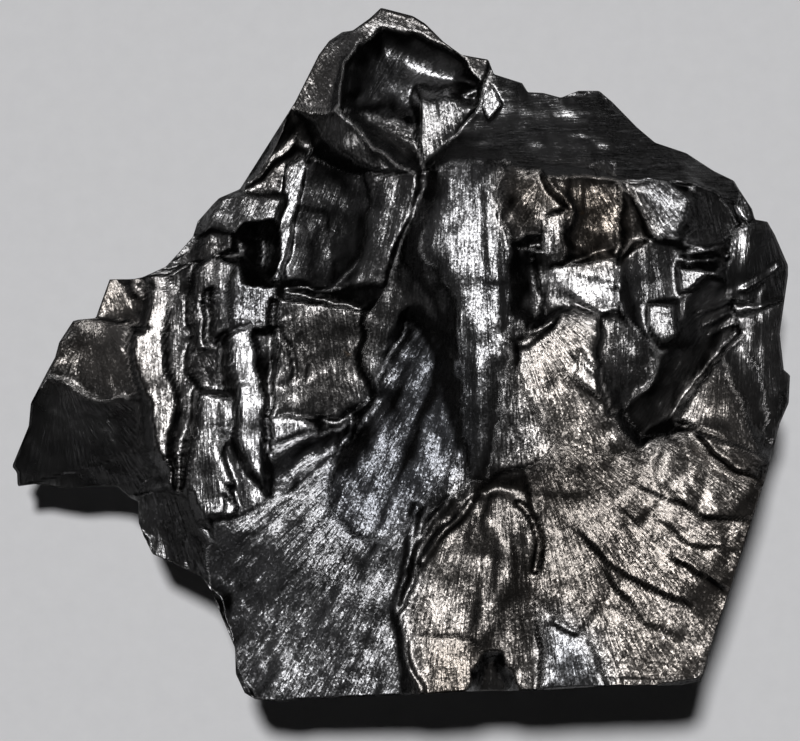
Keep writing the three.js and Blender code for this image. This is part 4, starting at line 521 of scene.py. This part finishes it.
square = np.array([(0, 0, 0), (2, 0, 2), (2, 2, 2), (0, 2, 0.0)])
print("middle of a tilted square:", np.round(stretched(square, np.array([1.0]), np.array([1.0])), 3))

# %% One face at a time
WAVES = ((1.0, 7.5, 5), (0.4, 2.4, 7), (0.05, 0.8, 17))  # push in mm, length of the wave, layer
CHIPS = ((0.5, 5.2, 2.5, 50), (0.5, 2.9, 1.4, 55), (0.12, 1.7, 0.7, 60))  # depth, size, wander, layer


def lay_faces(x, y):
    """Heights, striations, grain directions and finish of the faces at the plan points (x, y)."""
    wx, wy = x, y  # the point that is looked up, pushed about so that no border runs straight
    for amount, size, k in WAVES:
        wx = wx + amount * noise(x / size, y / size, k)
        wy = wy + amount * noise(x / size, y / size, k + 1)
    height = np.full(x.shape, RIM_LEVEL)
    look = np.zeros((5, x.size))  # striation, across the grain, along it, tint, polish
    for k, (_, sag, reach, soft, start, streak, tint, polish, corners) in enumerate(FACES):
        corners = np.array(corners, float)
        steep = 0.8 + 2 / soft  # slope of the bank beside the face
        margin = 25 / steep  # there the bank is 25 mm high, too high to touch anything
        (left, front), (right, back) = corners[:, :2].min(0) - margin, corners[:, :2].max(0) + margin
        near = np.flatnonzero((wx > left) & (wx < right) & (wy > front) & (wy < back))
        edge, _, _, level = nearest_on(corners, wx[near], wy[near], True)
        inside = is_inside(corners, wx[near], wy[near])
        beside, over = near[~inside], near[inside]
        fall, level, depth = steep * edge[~inside], level[~inside], edge[inside]
        height[beside] = np.clip(height[beside], level - fall, level + fall)
        dish = 1 - (1 - np.clip(depth / reach, 0, 1)) ** 2
        height[over] = stretched(corners, wx[over], wy[over]) + sag * dish
        dx, dy = x[over] - start[0], y[over] - start[1]
        along = np.hypot(dx, dy)
        across = np.arctan2(dy, dx) * np.median(along)
        lines = 0.35 * roughness(across / 0.9, along / 9, k, 2)
        lines = lines + 2.0 * roughness(across / 4.2, along / 18, k + 7, 2)
        look[:3, over] = [streak * lines, across + 7 * k, along]
        look[3:, over] = [[tint], [polish]]
    return wx, wy, height, look


def top_height(x, y):
    """The upper face: laid faces, ridges and steps, striations, then chips of three sizes.

    The largest chips lie everywhere, the middle ones only where the coal is crumbly, and the
    smallest fade out as the polish grows. The sharp steps fade out towards both their ends.
    """
    wx, wy, height, look = lay_faces(x, y)
    for rise, width, line in RIDGES:
        height += rise * np.exp(-1.2 * (nearest_on(line, wx, wy, False)[0] / width) ** 2)
    for rise, fade, line in STEPS:
        _, side, share, _ = nearest_on(line, wx, wy, False)
        lift = np.clip(0.5 + side / 0.4, 0, 1) * np.exp(-np.maximum(side, 0) / fade)
        height += rise * lift * np.clip(6 * share * (1 - share), 0, 1) * np.exp(-9 * np.maximum(-side, 0))
    height += 0.55 * roughness(x / 8, y / 8, 31, 3) + look[0]
    crumbly, loose = np.clip(1 - look[4] / 0.3, 0, 1), 1 - look[4]
    for (depth, size, wander, k), where in zip(CHIPS, (1, crumbly, loose)):
        sx = x + 0.28 * wander * noise(x / wander, y / wander, 41)
        sy = y + 0.28 * wander * noise(x / wander, y / wander, 42)
        height += depth * where * chips(sx, sy, size, k)
    return height, look


print("height over the heart:", np.round(top_height(HEART[:1], HEART[1:])[0], 2), "mm")

# %% [markdown]
# ## The walls
# Coal also splits flat. Ten flat splits trim the walls so that the lump narrows to the split it
# rests on, and shell-shaped scars bite into them. A scar is the inside of a ball whose middle
# lies outside the wall, so its depth is where a level ray from the heart first meets the ball.

# %% Splits and scars
# facing in degrees, distance from the heart where it meets the ground, lean out per mm of height
SPLITS = [(-90, 31, 1.15), (-62, 36, 1.3), (-16, 32, 1.25), (22, 30, 1.3), (58, 25, 1.2),
          (96, 27, 1.45), (138, 23, 1.1), (172, 30, 2.3), (205, 27, 1.7), (240, 29, 1.15)]
# facing in degrees, height of the middle, depth of the bite, radius of the ball
SCARS = [(-101, 23, 2.6, 24), (-70, 19, 3.2, 17), (-40, 21, 2.4, 22), (-12, 13, 3.5, 19), (12, 20, 3, 14),
         (38, 15, 3.4, 18), (66, 20, 3, 15), (88, 14, 4, 20), (112, 24, 2.4, 16), (132, 16, 3.4, 17),
         (152, 18, 2.8, 13), (186, 13, 2.6, 15), (218, 13, 3.2, 16), (236, 20, 2.6, 15), (251, 9, 3, 14)]


def split_reach(angle, height, outline):
    """Distance from the heart to the nearest flat split: its foot plus its lean, over the cosine."""
    reach = outline + 0 * height
    for facing, foot, lean in SPLITS:
        towards = np.cos(angle - math.radians(facing)) + 0 * height
        cut = (foot + lean * height) / np.maximum(towards, 0.2)
        reach = np.where(towards > 0.2, np.minimum(reach, cut), reach)
    return reach


def wall_reach(angle, height, outline, rim):
    """Distance to the wall, with its scars, the grain round each scar, and how far off the rim."""
    reach = split_reach(angle, height, outline)
    across, along = angle * 40 + 0 * height, height + 0 * angle
    for n, (facing, middle, bite, radius) in enumerate(SCARS):
        turn = math.radians(facing)
        wall = split_reach(np.array([turn]), np.array([float(middle)]), outline_reach(np.array([turn])))[0]
        ball = wall + radius - bite
        ahead = ball * np.cos(angle - turn) + 0 * height
        aside = np.hypot(ball * np.sin(angle - turn), height - middle)
        meet = ahead - np.sqrt(np.maximum(radius**2 - aside**2, 0))
        inside = (ahead > 0) & (aside < radius) & (meet < reach)
        reach = np.where(inside, meet, reach)
        fan = np.arctan2(height - middle - 0.9 * bite, ball * np.sin(angle - turn)) * 8
        across = np.where(inside, fan + 31 * n, across)
        along = np.where(inside, aside, along)
    off_rim = ease((rim - height) / 4)  # 0 along the rim, 1 from 4 mm below it
    return outline + (reach - outline) * off_rim, across, along, off_rim


four_ways = np.radians([-90.0, 0, 90, 180])
print("walls at the ground, mm from the heart:",
      np.round(split_reach(four_ways, np.zeros(4), outline_reach(four_ways)), 1))

# %% [markdown]
# ## One closed skin
# A square grid drawn out to a disc, then out to the outline, covers the upper face without a
# pole. Inside, the grid follows a calmer outline, averaged over a sixth of a turn, so that a kink
# in the edge doesn't shear the mesh all the way to the middle. The border carries on down the
# walls, row by row, and a fan of triangles closes the bottom. Every corner is shared, so the
# skin has no seam.

# %% The upper face of the skin
GRID = 251  # points along each side of the square
WALL_ROWS = 34


def draw_in(x, y, height, level):
    """Points narrowed towards the plan's zero in proportion to how high `level` is."""
    scale = 1 - (level - RIM_LEVEL) * DRAW_IN
    return np.stack([x * scale, y * scale, height + 0 * x], axis=-1)


side = np.linspace(-1, 1, GRID)
u, v = np.meshgrid(side, side)
disc_x, disc_y = u * np.sqrt(1 - v * v / 2), v * np.sqrt(1 - u * u / 2)
angle = np.arctan2(disc_y, disc_x).ravel()
out = np.hypot(disc_x, disc_y).ravel()  # share of the way out, from 0 to 1
turns = np.radians(np.arange(-30, 31, 1.5))
calm = np.mean([outline_reach(angle + turn) for turn in turns], axis=0)
reach = out * (calm + (outline_reach(angle) - calm) * out**3)
plan_x, plan_y = HEART[0] + reach * np.cos(angle), HEART[1] + reach * np.sin(angle)
top_z, top_look = top_height(plan_x, plan_y)
top_points = draw_in(plan_x, plan_y, top_z, top_z)
print("upper face:", len(top_points), "points, heights",
      np.round(top_z.min(), 1), "to", np.round(top_z.max(), 1))

# %% The walls of the skin
index = np.arange(GRID * GRID).reshape(GRID, GRID)
rim_index = np.concatenate([index[0, :-1], index[:-1, -1], index[-1, :0:-1], index[:0:-1, 0]])
rim_angle, rim_z = angle[rim_index], top_z[rim_index]
rim_reach = outline_reach(rim_angle)
rim_points = np.stack([rim_reach * np.cos(rim_angle), rim_reach * np.sin(rim_angle)], axis=-1)
piece = np.hypot(*(np.roll(rim_points, -1, axis=0) - rim_points).T)
girth = np.concatenate([[0], np.cumsum(piece)[:-1]])
down = (np.arange(1, WALL_ROWS + 1) / WALL_ROWS)[:, None]
wall_z = rim_z * (1 - down)
wall_r, grain_x, grain_y, off_rim = wall_reach(rim_angle[None, :], wall_z,
                                               rim_reach[None, :], rim_z[None, :])


def wall_relief(arc, height):
    """How far the wall is chipped back at a distance round the lump and a height above ground."""
    around = round(piece.sum())
    arc = arc * around / piece.sum()
    wander = 1.2 * noise(arc / 4, height / 4, 71, around / 4)
    relief = 1.5 + 1.1 * roughness(arc / 9, height / 9, 81, 3, around / 9)
    for amount, size, k in ((2.6, 8, 90), (1.3, 4, 96), (0.45, 2, 102)):
        relief += amount * (0.25 + chips(arc + wander, height + wander, size, k, around / size))
    layer = (height + 1.5 * noise(arc / 20, height / 9, 77, around / 20)) / 5
    return relief + 0.35 * np.abs(layer - np.round(layer)) * 2


arc = girth / piece.sum() * 8 * round(piece.sum() / 8)  # measured in whole 8 mm chips
wall_chip = np.maximum(wall_relief(arc[None, :] + 0 * wall_z, wall_z), 0) * off_rim
wall_chip += 0.16 * roughness(grain_x / 0.9, grain_y / 7, 120, 3) * off_rim
wall_r = wall_r - wall_chip
wall_x = HEART[0] + wall_r * np.cos(rim_angle)
wall_y = HEART[1] + wall_r * np.sin(rim_angle)
wall_points = draw_in(wall_x, wall_y, wall_z, rim_z[None, :]).reshape(-1, 3)
print("walls:", wall_points.shape[0], "points, girth", round(float(piece.sum())), "mm")

# %% Join them into one mesh, fitted to the solid's box
def quads(upper, lower):
    """Faces between two closed rings of point numbers, corners anticlockwise from outside."""
    return np.stack([upper, lower, np.roll(lower, -1), np.roll(upper, -1)], axis=-1)


points = np.concatenate([top_points, wall_points, [[HEART[0], HEART[1], 0]]])
rows = GRID * GRID + np.arange(WALL_ROWS * len(rim_index)).reshape(WALL_ROWS, -1)
rings = [rim_index, *rows]
top_faces = np.stack([index[:-1, :-1], index[:-1, 1:], index[1:, 1:], index[1:, :-1]], axis=-1)
top_faces = top_faces.reshape(-1, 4)
wall_faces = np.concatenate([quads(a, b) for a, b in zip(rings[:-1], rings[1:])])
base_point = np.full(len(rim_index), len(points) - 1)
base_faces = np.stack([base_point, np.roll(rings[-1], -1), rings[-1]], axis=-1)
middle = (points.min(0) + points.max(0)) / 2
middle[2] = 0
place = np.array([(low[0] + high[0]) / 2, (low[1] + high[1]) / 2, low[2]])
points = (points - middle) * MM + place
centre = place - middle * MM  # where the plan's own zero point has come to
mesh = bpy.data.meshes.new("anthracite_lump")
corners = np.concatenate([top_faces.ravel(), wall_faces.ravel(), base_faces.ravel()])
sizes = np.concatenate([np.full(len(top_faces) + len(wall_faces), 4), np.full(len(base_faces), 3)])
mesh.vertices.add(len(points))
mesh.vertices.foreach_set("co", points.ravel())
mesh.loops.add(len(corners))
mesh.loops.foreach_set("vertex_index", corners)
mesh.polygons.add(len(sizes))
mesh.polygons.foreach_set("loop_start", np.concatenate([[0], np.cumsum(sizes)[:-1]]))
mesh.update(calc_edges=True)
mesh.validate()
mesh.polygons.foreach_set("use_smooth", np.ones(len(sizes), bool))
triangles = 2 * (len(top_faces) + len(wall_faces)) + len(base_faces)
print("skin:", len(mesh.polygons), "faces,", triangles, "triangles, box",
      np.round(np.ptp(points, axis=0) / MM, 1), "mm")

# %% Grain, finish and painted shade, kept on the points
def keep(name, values, kind):
    """Store one value (FLOAT) or three (FLOAT_VECTOR) for each point of the mesh."""
    slot = mesh.attributes.new(name, kind, "POINT")
    slot.data.foreach_set("value" if kind == "FLOAT" else "vector", np.asarray(values, float).ravel())


def spread_out(values, times):
    """Soften a value over the upper face: the mean of a point and its four neighbours, repeated."""
    field = np.pad(values.reshape(GRID, GRID), 1, mode="edge")
    for _ in range(times):
        beside = field[:-2, 1:-1] + field[2:, 1:-1] + field[1:-1, :-2] + field[1:-1, 2:]
        field[1:-1, 1:-1] = (field[1:-1, 1:-1] + beside) / 5
    return field[1:-1, 1:-1].ravel()


# the walls' tint, their polish, and their fixed share of painted shade (colour darkened towards black)
WALL_TINT, WALL_POLISH, WALL_PAINTED_SHADE = 0.05, 0.6, 0.6
count = len(points) - len(top_points)
wall_grain = np.stack([grain_x, grain_y, 0 * grain_x], axis=-1).reshape(-1, 3)
top_grain = np.stack([top_look[1], top_look[2], 0 * top_look[1]], axis=-1)
keep("grain", np.concatenate([top_grain, wall_grain, [[0, 0, 0]]]), "FLOAT_VECTOR")
keep("tint", np.concatenate([spread_out(top_look[3], 60), np.full(count, WALL_TINT)]), "FLOAT")
keep("polish", np.concatenate([spread_out(top_look[4], 12), np.full(count, WALL_POLISH)]), "FLOAT")
upright = np.empty(len(points) * 3)
mesh.vertices.foreach_get("normal", upright)
upright = np.abs(upright.reshape(-1, 3)[:len(top_points), 2])
# painted shade: the more a face tilts from level, the more its colour is darkened towards black, standing
# in for shade on steep faces
tilt_shade = ease((0.93 - upright) / 0.24)  # 0 up to a tilt of 22 degrees, 1 from 46 degrees
keep("steep", np.concatenate([tilt_shade, np.full(count, WALL_PAINTED_SHADE)]), "FLOAT")
lump = bpy.data.objects.new("anthracite_skin", mesh)
bpy.context.scene.collection.objects.link(lump)
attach(lump, "root")
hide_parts("coal_lump")
print("attributes:", [a.name for a in mesh.attributes])

# %% [markdown]
# ## The shine of coal
# Anthracite reflects about a tenth of the light straight back, without taking on its own colour,
# so each break face is a dull black mirror: bright where it faces the lamp, black where it leans
# away. A metal with a very dark colour behaves just like that. Fine striations follow each
# face's grain, and a crumbly face glitters because its tiny chips all lean differently. Steep
# faces and the walls also get painted shade: their colour is blended towards near black.

# %% A small kit for node trees
def new_material(name):
    """An empty node material, and its tree."""
    material = bpy.data.materials.new(name)
    material.use_nodes = True
    material.node_tree.nodes.clear()
    return material, material.node_tree


def add(tree, kind, settings=None, **inputs):
    """A node with its settings and its inputs: a value is set, another node's socket is linked.

    An input is called by its name (`From_Min` for "From Min") or by its number (`_0`).
    """
    node = tree.nodes.new(kind)
    for name, value in (settings or {}).items():
        setattr(node, name, value)
    for name, value in inputs.items():
        socket = node.inputs[int(name[1:]) if name[1:].isdigit() else name.replace("_", " ")]
        if isinstance(value, bpy.types.NodeSocket):
            tree.links.new(value, socket)
        else:
            socket.default_value = value
    return node


def maths(tree, operation, a, b=0.0, c=0.0):
    """One step of arithmetic on numbers or sockets."""
    return add(tree, "ShaderNodeMath", {"operation": operation}, _0=a, _1=b, _2=c).outputs[0]


def vector_maths(tree, operation, a, b=(0, 0, 0), **more):
    """One step of arithmetic on vectors or sockets."""
    return add(tree, "ShaderNodeVectorMath", {"operation": operation}, _0=a, _1=b, **more)


def blend(tree, factor, a, b):
    """A colour between a and b."""
    node = add(tree, "ShaderNodeMix", {"data_type": "RGBA"}, _0=factor, _6=a, _7=b)
    return node.outputs[2]


def grain_noise(tree, source, scale, detail, rough=0.5, stretch=(1, 1, 1), **more):
    """Noise on a stretched copy of a vector, so that its blobs become streaks."""
    spread = vector_maths(tree, "MULTIPLY", source, stretch)
    node = add(tree, "ShaderNodeTexNoise", {}, Vector=spread.outputs[0], Scale=scale, Detail=detail,
               Roughness=rough, **more)
    return node.outputs["Fac"]


def plus(tree, a, b):
    """Two vectors added."""
    return vector_maths(tree, "ADD", a, b).outputs[0]


def facets(tree, source, stretch, lean):
    """A small sideways push for each tiny flat break: a fixed random direction for each cell."""
    spread = vector_maths(tree, "MULTIPLY", source, stretch)
    cells = add(tree, "ShaderNodeTexVoronoi", {}, Vector=spread.outputs[0], Scale=1.0)
    centred = vector_maths(tree, "SUBTRACT", cells.outputs["Color"], (0.5, 0.5, 0.5))
    return vector_maths(tree, "SCALE", centred.outputs[0], Scale=lean).outputs[0]


print("node helpers:", [kit.__name__ for kit in (add, maths, vector_maths, blend, grain_noise, facets)])

# %% The coal material
RUST = (0.30, 0.17, 0.07, 1)
RUST_SPOTS = (((0.0267, 0.0187, 0.0425), 0.0022), ((-0.0073, 0.0002, 0.0350), 0.0011))  # place, size in m
# painted shade: the near black that steep faces and the walls are blended towards
PAINTED_SHADE_BLACK = (0.02, 0.0195, 0.0195, 1)  # what a face fades to as it turns away from level

coal, tree = new_material("anthracite")
place_here = add(tree, "ShaderNodeTexCoord").outputs["Object"]
grain = add(tree, "ShaderNodeAttribute", {"attribute_name": "grain"}).outputs["Vector"]
tint = add(tree, "ShaderNodeAttribute", {"attribute_name": "tint"}).outputs["Fac"]
polish = add(tree, "ShaderNodeAttribute", {"attribute_name": "polish"}).outputs["Fac"]
# the steep attribute holds how much painted shade each point gets
steep = add(tree, "ShaderNodeAttribute", {"attribute_name": "steep"}).outputs["Fac"]
loose = maths(tree, "SUBTRACT", 1.0, polish)
wander = add(tree, "ShaderNodeTexNoise", {}, Vector=place_here, Scale=700, Detail=2)
shaken = vector_maths(tree, "MULTIPLY_ADD", wander.outputs["Color"], (0.0006, 0.0006, 0.0006),
                      _2=place_here).outputs[0]
streaks = grain_noise(tree, grain, 1.0, 4, 0.65, (2.6, 0.3, 1))
crumbs = grain_noise(tree, place_here, 1400, 4, 0.7)
patches = grain_noise(tree, place_here, 90, 3, 0.6)
relief = maths(tree, "MULTIPLY_ADD", crumbs, maths(tree, "MULTIPLY_ADD", loose, 0.5, 0.05),
               maths(tree, "MULTIPLY", streaks, 0.6))
bump = add(tree, "ShaderNodeBump", {}, Strength=1.0, Distance=0.00013, Height=relief)
# the tiny breaks: 4200 and 1100 to the metre, and long ones that follow the grain
fine = facets(tree, shaken, (4200, 4200, 4200), maths(tree, "MULTIPLY_ADD", loose, 0.34, 0.05))
long = facets(tree, grain, (4.2, 0.55, 1), maths(tree, "MULTIPLY_ADD", loose, 0.18, 0.07))
coarse = facets(tree, shaken, (1100, 1100, 1100), maths(tree, "MULTIPLY_ADD", loose, 0.14, 0.0))
pushed = plus(tree, plus(tree, bump.outputs["Normal"], fine), plus(tree, long, coarse))
normal = vector_maths(tree, "NORMALIZE", pushed).outputs[0]

# each colour runs from dark to light in soft patches; the tint picks among them
neutral = blend(tree, patches, (0.17, 0.168, 0.171, 1), (0.30, 0.297, 0.30, 1))
brown = blend(tree, patches, (0.19, 0.160, 0.134, 1), (0.32, 0.280, 0.243, 1))
blue = blend(tree, patches, (0.155, 0.169, 0.202, 1), (0.30, 0.318, 0.36, 1))
warm = blend(tree, maths(tree, "MAXIMUM", tint, 0.0), neutral, brown)
cool = blend(tree, maths(tree, "MAXIMUM", maths(tree, "MULTIPLY", tint, -1.0), 0.0), warm, blue)
for spot, size in RUST_SPOTS:
    gap = vector_maths(tree, "DISTANCE", shaken, tuple(np.array(spot) + centre))
    within = add(tree, "ShaderNodeMapRange", {}, Value=gap.outputs["Value"],
                 From_Min=size, From_Max=size * 0.3).outputs[0]
    stain = maths(tree, "MULTIPLY", maths(tree, "GREATER_THAN", patches, 0.47), within)
    cool = blend(tree, stain, cool, RUST)
# painted shade: the colour is blended towards near black on steep faces and on the walls
body = blend(tree, steep, cool, PAINTED_SHADE_BLACK)
rough = maths(tree, "MULTIPLY_ADD", patches, 0.16, maths(tree, "MULTIPLY_ADD", loose, 0.12, 0.19))
shader = add(tree, "ShaderNodeBsdfPrincipled", {}, Base_Color=body, Metallic=1.0,
             Roughness=rough, Normal=normal)
add(tree, "ShaderNodeOutputMaterial", {}, Surface=shader.outputs["BSDF"])
mesh.materials.append(coal)
print("coal material:", len(tree.nodes), "nodes")

# %% [markdown]
# ## Paper, lamp and camera
# The lump lies on pale paper. One small lamp stands just above the camera, so faces that look
# straight up shine back and the shadow falls below the lump. A dim room all round keeps the
# walls readable without lighting the faces that lean away. The lamp is a sun here, since a
# distant lamp lights the paper evenly from edge to edge.

# %% Paper
paper_mesh = bpy.data.meshes.new("paper")
half = 6.0  # metres, so that its edge is never seen
paper_corners = [(-half, -half, 0), (half, -half, 0), (half, half, 0), (-half, half, 0)]
paper_mesh.from_pydata(paper_corners, [], [(0, 1, 2, 3)])
paper = bpy.data.objects.new("paper", paper_mesh)
bpy.context.scene.collection.objects.link(paper)
paper_material, tree = new_material("paper")
fibre = grain_noise(tree, add(tree, "ShaderNodeTexCoord").outputs["Object"], 350, 3, 0.6)
sheet = blend(tree, fibre, (0.70, 0.70, 0.715, 1), (0.76, 0.76, 0.775, 1))
shader = add(tree, "ShaderNodeBsdfPrincipled", {}, Base_Color=sheet, Roughness=0.9)
add(tree, "ShaderNodeOutputMaterial", {}, Surface=shader.outputs["BSDF"])
paper_mesh.materials.append(paper_material)
print("paper", 2 * half, "m across")

# %% Lamp, room light and camera
CAMERA_HEIGHT = 0.650
LENS = 193.1  # mm, on a sensor 36 mm wide
ASIDE, NEARER = 0.00036, 0.0026  # how far left of and below the plan's zero the camera hangs
FLASH_TILT = (-math.radians(13.8), -math.radians(3.2), 0)  # from above the camera, a little aside
FLASH_SPREAD = math.radians(5)
FLASH_STRENGTH, PANEL_WATTS = 2.36, 0.11
ROOM_SEEN, ROOM_GLOW = (0.54, 0.54, 0.55, 1), (0.006, 0.006, 0.006, 1)
scene = bpy.context.scene


def add_light(name, kind, energy, place, turn, **settings):
    """A lamp of some kind, at a place and with a turn (radians)."""
    light = bpy.data.lights.new(name, kind)
    light.energy = energy
    for key, value in settings.items():
        setattr(light, key, value)
    holder = bpy.data.objects.new(name, light)
    holder.location, holder.rotation_euler = place, turn
    scene.collection.objects.link(holder)


add_light("flash", "SUN", FLASH_STRENGTH, (centre[0], 0.2, CAMERA_HEIGHT), FLASH_TILT,
          angle=FLASH_SPREAD)
for n in range(4):
    turn = math.radians(45 + 90 * n)
    spot = (2.2 * math.sin(turn), -2.2 * math.cos(turn), 0.3)
    add_light("panel %d" % n, "AREA", PANEL_WATTS, spot, (math.pi / 2, 0, turn),
              shape="RECTANGLE", size=3.0, size_y=0.6)

world = bpy.data.worlds.new("room")
scene.world = world
world.use_nodes = True
room = world.node_tree
room.nodes.clear()
seen = add(room, "ShaderNodeLightPath").outputs["Is Camera Ray"]
wall_tone = blend(room, seen, ROOM_GLOW, ROOM_SEEN)
glow = add(room, "ShaderNodeBackground", {}, Color=wall_tone, Strength=1.0)
add(room, "ShaderNodeOutputWorld", {}, Surface=glow.outputs[0])
camera = bpy.data.cameras.new("camera")
camera.sensor_width = 36
camera.lens = LENS
camera.clip_start, camera.clip_end = 0.01, 20
eye = bpy.data.objects.new("camera", camera)
eye.location = (centre[0] - ASIDE, centre[1] - NEARER, CAMERA_HEIGHT)
scene.collection.objects.link(eye)
scene.camera = eye
scene.view_settings.view_transform = "Standard"
print("camera", CAMERA_HEIGHT * 1000, "mm above the paper, looking straight down")
